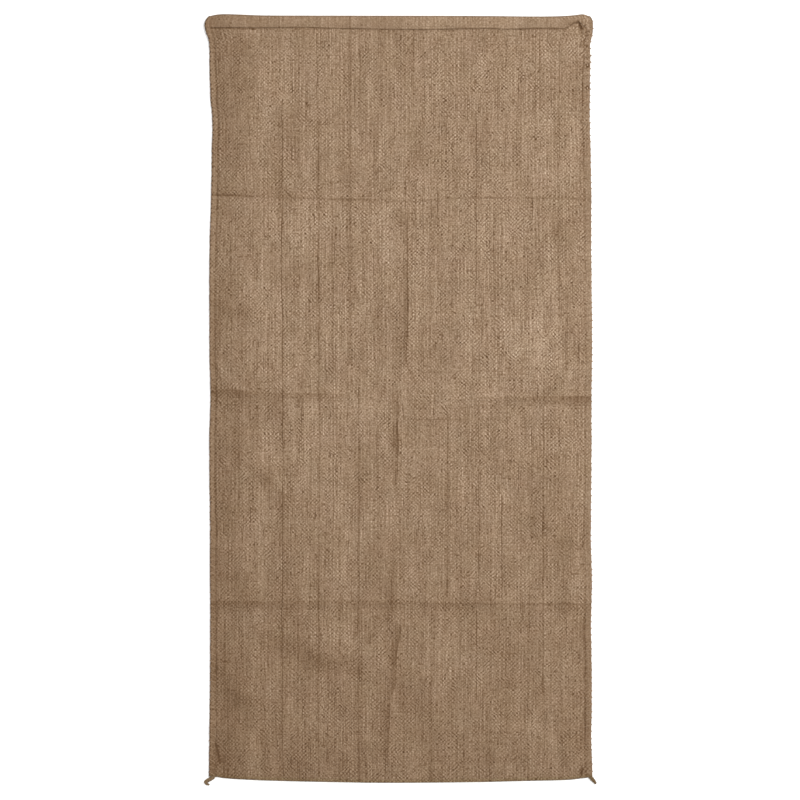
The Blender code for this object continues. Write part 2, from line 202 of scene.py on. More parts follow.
# Where each crosswise fold shows, how dark its line is (partly crease dirt, partly painted shade), and how dark the
# soft band of painted shade beside it:
# the band lies below the line, and above it where it is given below nought.
FoldMark = namedtuple("FoldMark", "x y line band")
CROSS_MARKS = {
    "lower": (
        FoldMark(-300.0, -315.0, 0.1, 0.68), FoldMark(-245.0, -315.2, 0.1, 0.68), FoldMark(-214.0, -315.6, 0.1, 0.75),
        FoldMark(-185.0, -315.2, 0.1, 0.6), FoldMark(-110.0, -314.4, 0.1, 0.46), FoldMark(0.0, -314.4, 0.1, 0.36),
        FoldMark(36.0, -316.2, 0.1, 0.38), FoldMark(50.0, -317.4, 0.25, 0.6), FoldMark(108.0, -317.8, 0.25, 0.58),
        FoldMark(124.0, -318.0, 0.35, 0.3), FoldMark(202.0, -318.2, 0.45, 0.3), FoldMark(216.0, -318.5, 0.75, 0.35),
        FoldMark(300.0, -319.0, 0.75, 0.35),
    ),
    "middle": (
        FoldMark(-300.0, 16.6, 0.1, 1.0), FoldMark(-256.0, 16.2, 0.1, 1.0), FoldMark(-232.0, 13.0, 0.0, 0.58),
        FoldMark(-205.0, 10.8, 0.05, 0.52), FoldMark(-130.0, 10.0, 0.15, 0.56), FoldMark(-104.0, 9.6, 0.05, 0.22),
        FoldMark(-60.0, 8.0, 0.0, 0.05), FoldMark(40.0, 6.0, 0.0, 0.0), FoldMark(120.0, 3.4, 0.0, 0.14),
        FoldMark(168.0, 3.2, 0.0, 0.3), FoldMark(196.0, 4.4, 0.0, 0.4), FoldMark(214.0, 5.8, 0.0, 0.7),
        FoldMark(252.0, 6.2, 0.0, 0.74), FoldMark(262.0, 6.4, 0.1, 1.12), FoldMark(300.0, 6.6, 0.1, 1.12),
    ),
    "upper": (
        FoldMark(-300.0, 321.6, 2.0, -0.3), FoldMark(-262.0, 321.2, 1.9, -0.3), FoldMark(-238.0, 320.0, 1.2, -0.35),
        FoldMark(-200.0, 318.6, 0.9, -0.35), FoldMark(-128.0, 316.2, 0.7, -0.2), FoldMark(-108.0, 315.0, 1.05, 0.0),
        FoldMark(-60.0, 314.2, 1.25, 0.0), FoldMark(-30.0, 313.8, 0.6, 0.0), FoldMark(60.0, 313.9, 0.5, 0.0),
        FoldMark(84.0, 316.4, 0.85, -0.2), FoldMark(124.0, 317.2, 0.85, -0.15), FoldMark(170.0, 317.2, 0.9, 0.0),
        FoldMark(190.0, 316.9, 0.8, 0.0), FoldMark(244.0, 316.6, 0.8, 0.0), FoldMark(252.0, 316.4, 0.8, -0.4),
        FoldMark(266.0, 316.4, 0.8, -0.4), FoldMark(274.0, 316.4, 0.7, 0.0), FoldMark(300.0, 316.2, 0.4, 0.0),
    ),
    "fine_low": (
        FoldMark(4.0, -30.2, 0.0, 0.0), FoldMark(30.0, -30.0, 0.9, 0.0), FoldMark(72.0, -29.8, 0.8, 0.0),
        FoldMark(92.0, -29.6, 0.4, 0.0), FoldMark(155.0, -28.6, 0.4, 0.0), FoldMark(180.0, -28.6, 0.0, 0.0),
    ),
    "fine_high": (
        FoldMark(20.0, 43.4, 0.0, 0.0), FoldMark(42.0, 43.6, 0.85, 0.0), FoldMark(76.0, 44.0, 0.85, 0.0),
        FoldMark(92.0, 46.0, 0.5, 0.0), FoldMark(126.0, 47.0, 0.45, 0.0), FoldMark(160.0, 48.0, 0.1, 0.0),
        FoldMark(205.0, 49.0, 0.5, 0.0), FoldMark(250.0, 49.2, 0.45, 0.0), FoldMark(290.0, 48.6, 0.3, 0.0),
    ),
}
# Broad soft painted shading and painted light of the front, where the cloth lies uneven: tone is a share of its
# brightness.
Shade = namedtuple("Shade", "name x0 y0 x1 y1 spread tone")
SHADES = (
    Shade("left_upper", -293.0, 147.0, -240.0, 133.0, 11.0, -0.10),
    Shade("left_middle", -261.0, -79.0, -216.0, -120.0, 12.0, -0.13),
    Shade("left_middle_turn", -216.0, -120.0, -183.0, -165.0, 12.0, -0.11),
    Shade("left_middle_end", -183.0, -165.0, -188.0, -232.0, 11.0, -0.05),
    Shade("left_above_fold", -296.0, -251.0, -235.0, -301.0, 20.0, -0.06),
    Shade("left_low", -291.0, -420.0, -254.0, -471.0, 14.0, -0.12),
    Shade("left_low_end", -254.0, -471.0, -188.0, -475.0, 9.0, -0.07),
    Shade("left_foot", -260.0, -478.0, -274.0, -572.0, 18.0, -0.06),
    Shade("low_middle", -191.0, -380.0, -128.0, -408.0, 15.0, -0.12),
    Shade("low_middle_end", -128.0, -408.0, -66.0, -420.0, 15.0, -0.12),
    Shade("middle_left", -39.0, -204.0, -47.0, -270.0, 11.0, -0.08),
    Shade("crossing_low", -16.0, -306.0, -14.0, -342.0, 15.0, -0.07),
    Shade("fold_left", -117.0, -311.0, -117.0, -323.0, 13.0, -0.05),
    Shade("top_middle", -34.0, 517.0, -15.0, 423.0, 11.0, -0.05),
    Shade("right_top", 252.0, 532.0, 251.0, 430.0, 8.0, -0.05),
    Shade("right_upper", 257.0, 172.0, 262.0, 109.0, 9.0, -0.05),
    Shade("right_middle", 260.0, -188.0, 254.0, -251.0, 12.0, -0.05),
    Shade("right_lower", 210.0, -364.0, 210.0, -478.0, 9.0, -0.05),
    Shade("low_panel", -128.0, -348.0, -81.0, -370.0, 16.0, 0.06),
    Shade("low_panel_end", -81.0, -370.0, -41.0, -395.0, 15.0, 0.08),
    Shade("right_foot", 157.0, -505.0, 207.0, -513.0, 10.0, 0.09),
    Shade("right_foot_end", 207.0, -513.0, 240.0, -536.0, 9.0, 0.08),
    Shade("left_foot_edge", -294.0, -471.0, -292.0, -505.0, 9.0, 0.08),
    Shade("left_panel", -216.0, -47.0, -207.0, -82.0, 10.0, 0.05),
    Shade("left_lower_panel", -216.0, -165.0, -224.0, -228.0, 14.0, 0.06),
    Shade("middle_panel", -144.0, -24.0, -144.0, -126.0, 13.0, 0.05),
    Shade("above_lower", -164.0, -259.0, -138.0, -267.0, 13.0, 0.06),
    Shade("upper_panel", -152.0, 399.0, -146.0, 235.0, 14.0, 0.05),
    Shade("beside_spine", 32.0, 368.0, 39.0, 211.0, 12.0, 0.05),
    Shade("right_panel", 198.0, 141.0, 212.0, 78.0, 18.0, 0.04),
    Shade("right_upper_panel", 188.0, 352.0, 232.0, 352.0, 11.0, 0.05),
    Shade("low_right_panel", 66.0, -400.0, 60.0, -463.0, 14.0, 0.05),
)
# Small dark places on the front: from the left edge, from the mouth, half size across and along. The first is painted
# shade where the hem's edge runs into the tuck.
Spot = namedtuple("Spot", "name u v across along dark")
SPOTS = (
    Spot("hem_end_shade", 565.0, 12.0, 9.5, 5.0, 0.2),
    Spot("ear_low", 588.4, 26.5, 2.3, 3.0, 0.36),
    Spot("ear_side", 595.6, 15.0, 1.8, 4.4, 0.22),
    Spot("strip_top", 592.2, 31.5, 1.9, 3.4, 0.32),
    Spot("strip_side", 594.8, 35.8, 2.2, 1.6, 0.26),
    Spot("strip_line", 588.2, 42.0, 1.5, 7.0, 0.2),
    Spot("strip_low", 593.0, 48.5, 1.9, 2.4, 0.3),
    Spot("foot_knot", 581.2, 1186.5, 1.6, 4.2, 0.85),
)
# Stretches of the lengthwise fold: how dark its line is, partly crease dirt and partly painted shade, and how dark the
# band of painted shade on its left.
SpineMark = namedtuple("SpineMark", "name y0 y1 line band")
SPINE_MARKS = (
    SpineMark("top", 590, 330, 0.06, 0.0),
    SpineMark("upper", 290, 218, 1.0, 0.0),
    SpineMark("upper_plain", 222, 132, 1.5, 0.4),
    SpineMark("upper_dark", 138, 54, 0.75, 0.6),
    SpineMark("crossing_top", 8, -32, 0.75, 0.35),
    SpineMark("middle", -32, -86, 1.9, 0.35),
    SpineMark("middle_low", -86, -140, 0.5, 0.25),
    SpineMark("lower", -250, -330, 0.0, 0.6),
    SpineMark("crossing_low", -352, -372, 0.8, 1.1),
    SpineMark("low", -372, -420, 0.9, 1.0),
    SpineMark("low_soft", -420, -470, 0.55, 0.8),
    SpineMark("foot", -470, -556, 0.7, 0.75),
)
FoldPath = namedtuple("FoldPath", "y x")           # where the lengthwise fold's own line runs
SPINE_LINE = (
    FoldPath(602.0, 9.0),
    FoldPath(330.0, 11.0),
    FoldPath(274.0, 11.6),
    FoldPath(203.0, 11.9),
    FoldPath(128.0, 12.2),
    FoldPath(86.0, 10.3),
    FoldPath(60.0, 10.4),
    FoldPath(44.0, 13.5),
    FoldPath(24.0, 6.0),
    FoldPath(2.0, -3.2),
    FoldPath(-16.0, -2.2),
    FoldPath(-40.0, -3.8),
    FoldPath(-74.0, -2.5),
    FoldPath(-141.0, -5.3),
    FoldPath(-251.0, -6.1),
    FoldPath(-314.0, -6.0),
    FoldPath(-346.0, -6.6),
    FoldPath(-354.0, 1.0),
    FoldPath(-358.0, 1.8),
    FoldPath(-384.0, -3.4),
    FoldPath(-405.0, -6.2),
    FoldPath(-438.0, -6.8),
    FoldPath(-452.0, -8.5),
    FoldPath(-466.0, -15.0),
    FoldPath(-510.0, -16.8),
    FoldPath(-556.0, -19.2),
)
HOOK = (                                            # its end turns aside above the middle crease
    FoldPath(52.0, 11.6),
    FoldPath(45.0, 15.2),
    FoldPath(38.7, 18.8),
    FoldPath(31.0, 22.4),
    FoldPath(22.0, 25.4),
)
# Each side's stitched line: its distance in from the edge, and how dark it shows.
SeamMark = namedtuple("SeamMark", "y left left_dark right right_dark")
SEAM_MARKS = (
    SeamMark(600.0, 8.6, 0.4, 9.2, 0.7),
    SeamMark(560.0, 8.0, 1.0, 9.6, 0.85),
    SeamMark(528.0, 8.8, 1.0, 10.3, 0.85),
    SeamMark(510.0, 10.0, 1.0, 10.8, 0.85),
    SeamMark(490.0, 10.2, 1.0, 11.2, 0.85),
    SeamMark(455.0, 9.4, 0.9, 11.3, 0.8),
    SeamMark(415.0, 9.4, 0.75, 11.4, 0.8),
    SeamMark(350.0, 9.6, 0.65, 10.8, 0.5),
    SeamMark(270.0, 10.2, 0.75, 9.8, 0.3),
    SeamMark(196.0, 9.2, 0.35, 9.6, 0.15),
    SeamMark(118.0, 8.6, 0.65, 9.4, 0.2),
    SeamMark(40.0, 8.6, 0.65, 9.4, 0.15),
    SeamMark(-40.0, 8.6, 0.75, 9.8, 0.55),
    SeamMark(-118.0, 8.6, 0.65, 9.8, 0.6),
    SeamMark(-196.0, 9.2, 0.75, 10.0, 0.65),
    SeamMark(-270.0, 9.0, 0.7, 9.6, 0.4),
    SeamMark(-350.0, 8.8, 0.8, 9.6, 1.0),
    SeamMark(-430.0, 8.8, 0.8, 9.6, 0.95),
    SeamMark(-468.0, 8.8, 0.3, 9.4, 1.0),
    SeamMark(-505.0, 8.8, 0.05, 9.2, 1.0),
    SeamMark(-545.0, 8.8, 0.0, 8.8, 0.5),
    SeamMark(-600.0, 8.8, 0.0, 8.6, 0.25),
)


# ---- shape functions ----
def smooth(t):
    t = np.clip(t, 0.0, 1.0)
    return t * t * (3.0 - 2.0 * t)


def rise(t):
    """0 at a seam, 1 on the open cloth, steepest at the seam."""
    t = np.clip(t, 0.0, 1.0)
    return 1.0 - (1.0 - t) ** 2


def read(rows, key, value, at):
    """Smooth curve through the rows' value column, read along the key column."""
    pts = sorted((float(getattr(r, key)), float(getattr(r, value))) for r in rows)
    ks, vs = np.array([p[0] for p in pts]), np.array([p[1] for p in pts])
    lo, hi = np.maximum(np.arange(len(ks)) - 1, 0), np.minimum(np.arange(len(ks)) + 1, len(ks) - 1)
    slopes = (vs[hi] - vs[lo]) / (ks[hi] - ks[lo])
    at = np.clip(at, ks[0], ks[-1])
    i = np.clip(np.searchsorted(ks, at, side="right") - 1, 0, len(ks) - 2)
    h = ks[i + 1] - ks[i]
    t = (at - ks[i]) / h
    return ((2 * t ** 3 - 3 * t * t + 1) * vs[i] + (t ** 3 - 2 * t * t + t) * h * slopes[i]
            + (3 * t * t - 2 * t ** 3) * vs[i + 1] + (t ** 3 - t * t) * h * slopes[i + 1])


def lattice(x, y, cell_x, cell_y, seed):
    """Seeded smooth noise, about -1 to 1, on a lattice of the given cells."""
    rng = np.random.default_rng(seed)
    table = rng.uniform(-1.0, 1.0, (64, 64))
    px, py = np.asarray(x) / cell_x + 17.3, np.asarray(y) / cell_y + 9.7
    i, j = np.floor(px).astype(int), np.floor(py).astype(int)
    a, b = px - i, py - j
    a, b = a * a * a * (a * (6 * a - 15) + 10), b * b * b * (b * (6 * b - 15) + 10)
    t00, t10 = table[i % 64, j % 64], table[(i + 1) % 64, j % 64]
    t01, t11 = table[i % 64, (j + 1) % 64], table[(i + 1) % 64, (j + 1) % 64]
    return (t00 * (1 - a) + t10 * a) * (1 - b) + (t01 * (1 - a) + t11 * a) * b


OUTLINE = SIDES + EARS


def left_edge(y):
    return LEFT_IN - HALF_WIDTH - read(OUTLINE, "y", "left", y)


def right_edge(y):
    return HALF_WIDTH + read(OUTLINE, "y", "right", y)


def foot_line(x):
    return FOLD_Y + read(FOOT, "x", "rise", x)


def mouth_line(x):
    return MOUTH_Y - MOUTH_IN + read(MOUTH, "x", "edge", x)


def hem_line(x):
    """Lower edge of the turned hem. Its right end curves up into the corner's tuck."""
    tuck = 8.6 * smooth((x - 256.0) / 20.0) * (1.0 - smooth((x - 277.0) / 11.0))
    return HEM_Y + read(MOUTH, "x", "hem", x) + tuck


def crease_y(c, x):
    x = np.clip(x, -290.0, 290.0)
    out = np.full(np.shape(x), c.far_right, float)
    knots = ((-290.0, c.far_left), (-145.0, c.left), (0.0, c.middle), (145.0, c.right), (290.0, c.far_right))
    for (x0, y0), (x1, y1) in reversed(list(zip(knots, knots[1:]))):
        out = np.where(x <= x1, y0 + (y1 - y0) * smooth((x - x0) / (x1 - x0)), out)
    return out


def crease_rise(c, x):
    return np.where(x < 0.0, c.rise_middle + (c.rise_left - c.rise_middle) * smooth(-x / 270.0),
                    c.rise_middle + (c.rise_right - c.rise_middle) * smooth(x / 270.0))


def fine_low_y(x):
    return -30.2 + 0.6 * np.sin(x / 41.0)


def fine_high_y(x):
    return 43.6 + 4.6 * smooth((x - 118.0) / 92.0) + 0.4 * np.sin(x / 33.0)


def cross_y(name, x):
    if name == "fine_low":
        return fine_low_y(x)
    if name == "fine_high":
        return fine_high_y(x)
    return crease_y([c for c in CREASES if c.name == name][0], x)


def strength(rows, key, value, at):
    """A rows' column read straight from one row to the next."""
    pts = sorted((float(getattr(r, key)), float(getattr(r, value))) for r in rows)
    return np.interp(at, [p[0] for p in pts], [p[1] for p in pts])


def mark_level(marks, at, lo, hi, column, fade):
    """How strong a fold's mark is at a place along it, fading at each stretch's ends."""
    out = np.zeros(np.shape(at))
    for m in marks:
        a, b = sorted((getattr(m, lo), getattr(m, hi)))
        w = smooth((at - a + fade) / (2 * fade)) * smooth((b - at + fade) / (2 * fade))
        out = np.maximum(out, getattr(m, column) * w)
    return out


def off_line(x, y, w):
    dx, dy = w.x1 - w.x0, w.y1 - w.y0
    span = math.hypot(dx, dy)
    along = ((x - w.x0) * dx + (y - w.y0) * dy) / span
    across = ((x - w.x0) * dy - (y - w.y0) * dx) / span
    past = np.maximum(0.0, np.maximum(-along, along - span))
    return np.hypot(across, past)


# Painted shade and painted light: the SHADES strokes summed as a share of brightness.
def broad_painted_shade(x, y):
    return sum(s.tone * np.exp(-(off_line(x, y, s) / s.spread) ** 2) for s in SHADES)


def inside_top(x, y):
    """Inner face of the front layer, clear of the seams."""
    z = np.full(np.shape(x), INSIDE_TOP)
    for c in CREASES:
        d = y - crease_y(c, x)
        spread = np.where(d > 0.0, CREASE_ABOVE, CREASE_BELOW)
        z = z + PRESSED * crease_rise(c, x) * np.exp(-np.abs(d) / spread * 1.8)
    d = x - read(SPINE, "y", "x", y)
    z = z + PRESSED * read(SPINE, "y", "rise", y) * np.exp(-np.abs(d) / SPINE_SPREAD * 1.8)
    for p in PANELS:
        z = z + p.rise * np.exp(-((x - p.x) / p.reach_x) ** 2 - ((y - p.y) / p.reach_y) ** 2)
    for w in WRINKLES:
        z = z + w.rise * np.exp(-(off_line(x, y, w) / w.spread) ** 2)
    return z


def relief(x, y):
    """Finer unevenness of the front layer than its solid has."""
    z = 0.55 * lattice(x, y, 74.0, 92.0, 11) + 0.34 * lattice(x, y, 36.0, 48.0, 12)
    z = z + 0.12 * lattice(x, y, 19.0, 27.0, 16)
    z = z + 0.18 * lattice(x, y, 12.5, 210.0, 13) + 0.09 * lattice(x, y, 7.5, 120.0, 14)
    z = z + 0.07 * lattice(x, y, 120.0, 11.0, 15)
    for k, name in enumerate(("lower", "middle", "upper")):
        d = y - cross_y(name, x)
        near = np.exp(-np.abs(d) / 11.0)
        z = z + near * (0.28 * lattice(x, y, 15.0, 26.0, 21 + k) + 0.15 * lattice(x, y, 6.5, 12.0, 31 + k))
        z = z + 0.22 * np.exp(-(d / 1.5) ** 2)
    for name in ("fine_low", "fine_high"):
        d = y - cross_y(name, x)
        k = strength(CROSS_MARKS[name], "x", "line", x)
        z = z + 0.22 * k * np.exp(-np.abs(d) / 4.5)
    d = x - read(SPINE_LINE, "y", "x", y)
    k = mark_level(SPINE_MARKS, y, "y0", "y1", "line", 12.0)
    z = z + k * (0.45 * np.exp(-(d / 1.7) ** 2) + 0.3 * lattice(x, y, 9.0, 21.0, 41) * np.exp(-np.abs(d) / 10.0))
    return z


def back_lift(x, y):
    """How far the single back layer is held off the ground by its own hem."""
    return HEM_TURN * (1.0 - smooth((hem_line(x) - y) / LIFT_RUN))


def edges_at(y):
    """Both side edges, a little uneven."""
    ragged = 0.28 * lattice(y, 0 * y, 9.0, 50.0, 51) + 0.25 * lattice(y, 0 * y, 31.0, 50.0, 52)
    ragged_r = 0.32 * lattice(y, 0 * y, 8.0, 50.0, 53) + 0.3 * lattice(y, 0 * y, 29.0, 50.0, 54)
    return left_edge(y) + ragged, right_edge(y) + ragged_r


def layers(x, y, xl, xr):
    """Inner faces of the back and front layers, before the hem's turning."""
    dl, dr = x - xl, xr - x
    back = CLOTH + back_lift(x, y)
    side = rise((dl - SEAM_BITE) / RISE_LEFT) * rise((dr - SEAM_BITE) / RISE_RIGHT)
    foot = rise((y - foot_line(x) - 1.7) / RISE_FOLD)
    front = back + SEAM_GAP + (inside_top(x, y) - back - SEAM_GAP) * side * foot
    front = front + relief(x, y) * np.minimum(1.0, 1.25 * side) * np.minimum(1.0, 1.25 * foot)
    return back, front


def strip_lift(dl, dr):
    """The seam strips lie on their stitches."""
    return SEAM_LIFT * (1.0 - smooth((np.minimum(dl, dr) - 9.0) / 13.0))


def seam_place(y, left):
    """Distance of the stitched line from its edge."""
    return np.where(left, read(SEAM_MARKS, "y", "left", y), read(SEAM_MARKS, "y", "right", y))


def seam_shape(x, y, dl, dr):
    """The stitches draw the cloth in along each seam, and the strip outside it is plump."""
    d = np.minimum(dl, dr)
    left = dl < dr
    fade = np.where(left, 1.0 - smooth((y - 566.0) / 14.0), 1.0 - smooth((y - 571.0) / 10.0))
    fade = fade * (0.35 + 0.65 * smooth((y + 598.0) / 14.0))
    wave = 0.5 - 0.5 * np.cos(2 * math.pi * (y / STITCH_PITCH + np.where(left, 0.0, 0.37)))
    pull = (SEAM_DIP * (0.7 + 0.3 * lattice(x, y, 60.0, 18.0, 61))) * np.exp(-((d - seam_place(y, left)) / 1.5) ** 2)
    pull = pull + 0.16 * wave * np.exp(-((d - 13.0) / 5.0) ** 2) - 0.24 * wave * np.exp(-((d - 4.4) / 2.6) ** 2)
    plump = 0.2 * np.exp(-((d - 4.6) / 2.6) ** 2)
    return (plump - pull) * fade


# ---- mesh building ----
class Mesh:
    """Vertices, faces and two maps, gathered grid by grid."""

    def __init__(self):
        self.blocks, self.extra, self.count = [], {}, 0
        self.faces, self.cloth, self.bake = [], [], []

    def add(self, x, y, z, **extra):
        """A grid of vertices. Returns their numbers."""
        shape = np.shape(x)
        n = int(np.prod(shape))
        self.blocks.append(np.stack([np.ravel(x), np.ravel(y), np.ravel(z)], 1))
        for key in set(self.extra) | set(extra):
            rows = self.extra.setdefault(key, [np.zeros(self.count)] if self.count else [])
            rows.append(np.ravel(extra[key]) if key in extra else np.zeros(n))
        numbers = np.arange(self.count, self.count + n).reshape(shape)
        self.count += n
        return numbers

    def grid(self, n, uv, bake, flip=False):
        """Quads over a grid. uv and bake are pairs of grids."""
        def corners(a):
            c = [a[:-1, :-1], a[:-1, 1:], a[1:, 1:], a[1:, :-1]]
            if flip:
                c = c[::-1]
            return np.stack([q.ravel() for q in c], 1)
        self.faces += corners(n).tolist()
        self.cloth.append(np.stack([corners(uv[0]), corners(uv[1])], 2).reshape(-1, 2))
        self.bake.append(np.stack([corners(bake[0]), corners(bake[1])], 2).reshape(-1, 2))

    def zip(self, a, ka, ua, ba, b, kb, ub, bb, flip=False):
        """Triangles between two lines of vertices, matched by their keys."""
        i = j = 0
        tris, us, bs = [], [], []
        while i < len(a) - 1 or j < len(b) - 1:
            if j == len(b) - 1 or (i < len(a) - 1 and ka[i + 1] <= kb[j + 1]):
                t = ((a[i], ua[i], ba[i]), (a[i + 1], ua[i + 1], ba[i + 1]), (b[j], ub[j], bb[j]))
                i += 1
            else:
                t = ((a[i], ua[i], ba[i]), (b[j + 1], ub[j + 1], bb[j + 1]), (b[j], ub[j], bb[j]))
                j += 1
            if flip:
                t = t[::-1]
            tris.append([int(p[0]) for p in t])
            us += [tuple(p[1]) for p in t]
            bs += [tuple(p[2]) for p in t]
        self.faces += tris
        self.cloth.append(np.array(us, float).reshape(-1, 2))
        self.bake.append(np.array(bs, float).reshape(-1, 2))

    def make(self, name):
        mesh = bpy.data.meshes.new(name)
        co = np.concatenate(self.blocks) * MM
        mesh.from_pydata(co.tolist(), [], self.faces)
        for layer, data in (("cloth", self.cloth), ("OFBake", self.bake)):
            uv = mesh.uv_layers.new(name=layer)
            uv.data.foreach_set("uv", np.concatenate(data).astype(np.float32).ravel())
        for key, rows in self.extra.items():
            a = mesh.attributes.new(key, "FLOAT", "POINT")
            a.data.foreach_set("value", np.concatenate(rows).astype(np.float32))
        bm = bmesh.new()
        bm.from_mesh(mesh)
        bmesh.ops.recalc_face_normals(bm, faces=bm.faces[:])
        if bm.calc_volume(signed=True) < 0.0:
            bmesh.ops.reverse_faces(bm, faces=bm.faces[:])
        bm.to_mesh(mesh)
        bm.free()
        mesh.shade_smooth()
        ob = bpy.data.objects.new(name, mesh)
        bpy.context.scene.collection.objects.link(ob)
        return ob


def between(a, b, step):
    """Even places from a to b, ends left out."""
    n = max(1, round(abs(b - a) / step))
    return [a + (b - a) * i / n for i in range(1, n)]


# Crosswise rows follow these guides. near: close rows below and above each.
Guide = namedtuple("Guide", "name level line below above")
GUIDES = (
    Guide("foot", FOLD_Y, foot_line, (), (0.35, 1.3, 3.0, 5.6, 9.0, 13.0)),
    Guide("lower", -319.0, lambda x: cross_y("lower", x), (0.9, 1.9, 3.4, 5.6, 8.6, 12.0), (0.9, 1.9, 3.4, 5.6, 8.6, 12.0)),
    Guide("fine_low", -30.2, fine_low_y, (0.9, 2.0, 4.2), (0.9, 2.0, 4.2)),
    Guide("middle", 1.0, lambda x: cross_y("middle", x), (0.9, 1.9, 3.4, 5.6, 8.6), (0.9, 1.9, 3.4, 5.6, 8.6, 12.0)),
    Guide("fine_high", 44.5, fine_high_y, (0.9, 2.0, 4.2), (0.9, 2.0, 4.2)),
    Guide("upper", 315.0, lambda x: cross_y("upper", x), (0.9, 1.9, 3.4, 5.6, 8.6, 12.0), (0.9, 1.9, 3.4, 5.6, 8.6, 12.0)),
    Guide("hem", HEM_Y, hem_line, (1.0, 2.0, 3.4, 5.4, 8.0, 11.0), ()),
)


def front_rows(step):
    """(guide below, share of the way to the next guide) for every row up to the hem line."""
    rows = []
    for k, (a, b) in enumerate(zip(GUIDES, GUIDES[1:])):
        length = b.level - a.level
        start = a.above[-1] if a.above else 0.0
        end = length - (b.below[-1] if b.below else 0.0)
        places = [0.0] + list(a.above) + between(start, end, step) + [length - d for d in reversed(b.below)]
        rows += [(k, p / length) for p in places]
    rows.append((len(GUIDES) - 2, 1.0))
    return rows


def row_ys(rows, x):
    """y of every row at every column: rows down, columns across."""
    lines = np.stack([g.line(x) for g in GUIDES])
    k = np.array([r[0] for r in rows])
    s = np.array([r[1] for r in rows])[:, None]
    return lines[k] + (lines[k + 1] - lines[k]) * s


STRIP = (2.2, 3.6, 5.2, 6.6, 7.6, 8.6, 9.6, 10.8, 12.4, 14.6, 17.4, 21.0, 25.5, 31.0, 37.0, 43.5, 50.0)


def nominal_columns(step, strip, dense):
    """Distances across the sack, lips left out, with close columns along the lengthwise fold."""
    left = [-HALF_WIDTH + d for d in strip]
    right = [HALF_WIDTH - d for d in strip]
    mid = [-25.0 + i * dense for i in range(int(43.0 / dense) + 1)]
    cols = left + between(left[-1], mid[0], step) + mid + between(mid[-1], min(right), step) + right
    return np.array(sorted(cols))


# A layer's lip at a side edge: distance in from the edge, height as a share of the layer's
# thickness above the gap between the layers.
Lip = namedtuple("Lip", "inward up")
LIP = (Lip(1.25, -0.12), Lip(0.35, 0.03), Lip(0.0, 0.45), Lip(0.22, 0.82), Lip(0.95, 0.98))


def bake_place(chart, u, v):
    """Where a point of the cloth goes in the baked map. u across from the left edge, v down."""
    x0, y0, w, h, turned = chart
    a, b = (u + 8.0) / 616.0, 1.0 - v / 1206.0
    if turned:
        a, b = b, a
    return x0 + np.clip(a, 0.0, 1.0) * w, y0 + np.clip(b, 0.0, 1.0) * h


CHART_FRONT = (0.004, 0.004, 0.496, 0.992, False)
CHART_BACK = (0.506, 0.292, 0.352, 0.704, False)
CHART_INNER_FRONT = (0.506, 0.004, 0.488, 0.140, True)
CHART_INNER_BACK = (0.506, 0.150, 0.488, 0.136, True)


def marks_at(x, y, dl, dr):
    """What the cloth's material needs to know of a place on the front."""
    names = ("lower", "fine_low", "middle", "fine_high", "upper")
    ds = np.stack([y - read(CROSS_MARKS[n], "x", "y", x) for n in names])
    near = np.argmin(np.abs(ds), 0)
    cross_d = np.take_along_axis(ds, near[None], 0)[0]
    line = np.choose(near, [strength(CROSS_MARKS[n], "x", "line", x) for n in names])
    band = np.choose(near, [strength(CROSS_MARKS[n], "x", "band", x) for n in names])
    spine_d = x - read(SPINE_LINE, "y", "x", y)
    return {
        "hook_d": x - read(HOOK, "y", "x", y) + 90.0 * (1.0 - smooth((y - 20.0) / 5.0) * smooth((54.0 - y) / 5.0)),
        "cross_d": cross_d,
        "cross_line": line,
        "cross_band": band,
        "spine_d": spine_d,
        "spine_line": mark_level(SPINE_MARKS, y, "y0", "y1", "line", 9.0),
        "spine_band": mark_level(SPINE_MARKS, y, "y0", "y1", "band", 12.0),
        "edge_d": np.minimum(dl, dr) * np.where(dl < dr, -1.0, 1.0),
        "seam_d": np.minimum(dl, dr) - seam_place(y, dl < dr),
        "seam_dark": np.where(dl < dr, strength(SEAM_MARKS, "y", "left_dark", y), strength(SEAM_MARKS, "y", "right_dark", y)),
        "hem_d": y - hem_line(x),
        "tone": broad_painted_shade(x, y),
        "front": np.ones(np.shape(x)),
    }


# The hem's free edge stands over the front: offset up the cloth, share of the turning.
Step = namedtuple("Step", "dy up")
HEM_STEP = (Step(0.2, -0.05), Step(-0.2, 0.16), Step(-0.1, 0.36), Step(0.4, 0.55), Step(1.3, 0.72), Step(2.8, 0.88))
# The hem's fold at the mouth: distance below the mouth's edge, share of the hem's thickness.
HEM_FOLD = (Step(3.4, 1.0), Step(1.7, 0.94), Step(0.7, 0.8), Step(0.12, 0.62))
HEM_FOLD_INSIDE = (Step(3.4, 0.0), Step(1.7, 0.05), Step(0.7, 0.18), Step(0.12, 0.36))


def lips(mesh_x, xl, xr, zin, zout, columns_u):
    """Adds both lips' columns to a layer's grid: x, z and distance across for all columns."""
    thick = np.abs(zout - zin)
    k = np.clip(thick / 1.4, 1.0, 1.7)
    xs, zs, us = [], [], []
    for lip in LIP:
        xs.append(xl + lip.inward * k[:, :1])
        zs.append(zin[:, :1] + (zout - zin)[:, :1] * lip.up)
        us.append(np.full_like(xl, -2.4 + 0.9 * len(us) * 0.5))
    left = (xs, zs, us)
    xs, zs, us = [], [], []
    for lip in reversed(LIP):
        xs.append(xr - lip.inward * k[:, -1:])
        zs.append(zin[:, -1:] + (zout - zin)[:, -1:] * lip.up)
        us.append(np.full_like(xr, 2 * HALF_WIDTH + 0.6 + 0.9 * len(us) * 0.5))
    right = (xs, zs, us)
    x = np.concatenate(left[0] + [mesh_x] + right[0], 1)
    z = np.concatenate(left[1] + [zout] + right[1], 1)
    u = np.concatenate(left[2] + [columns_u] + right[2], 1)
    return x, z, u


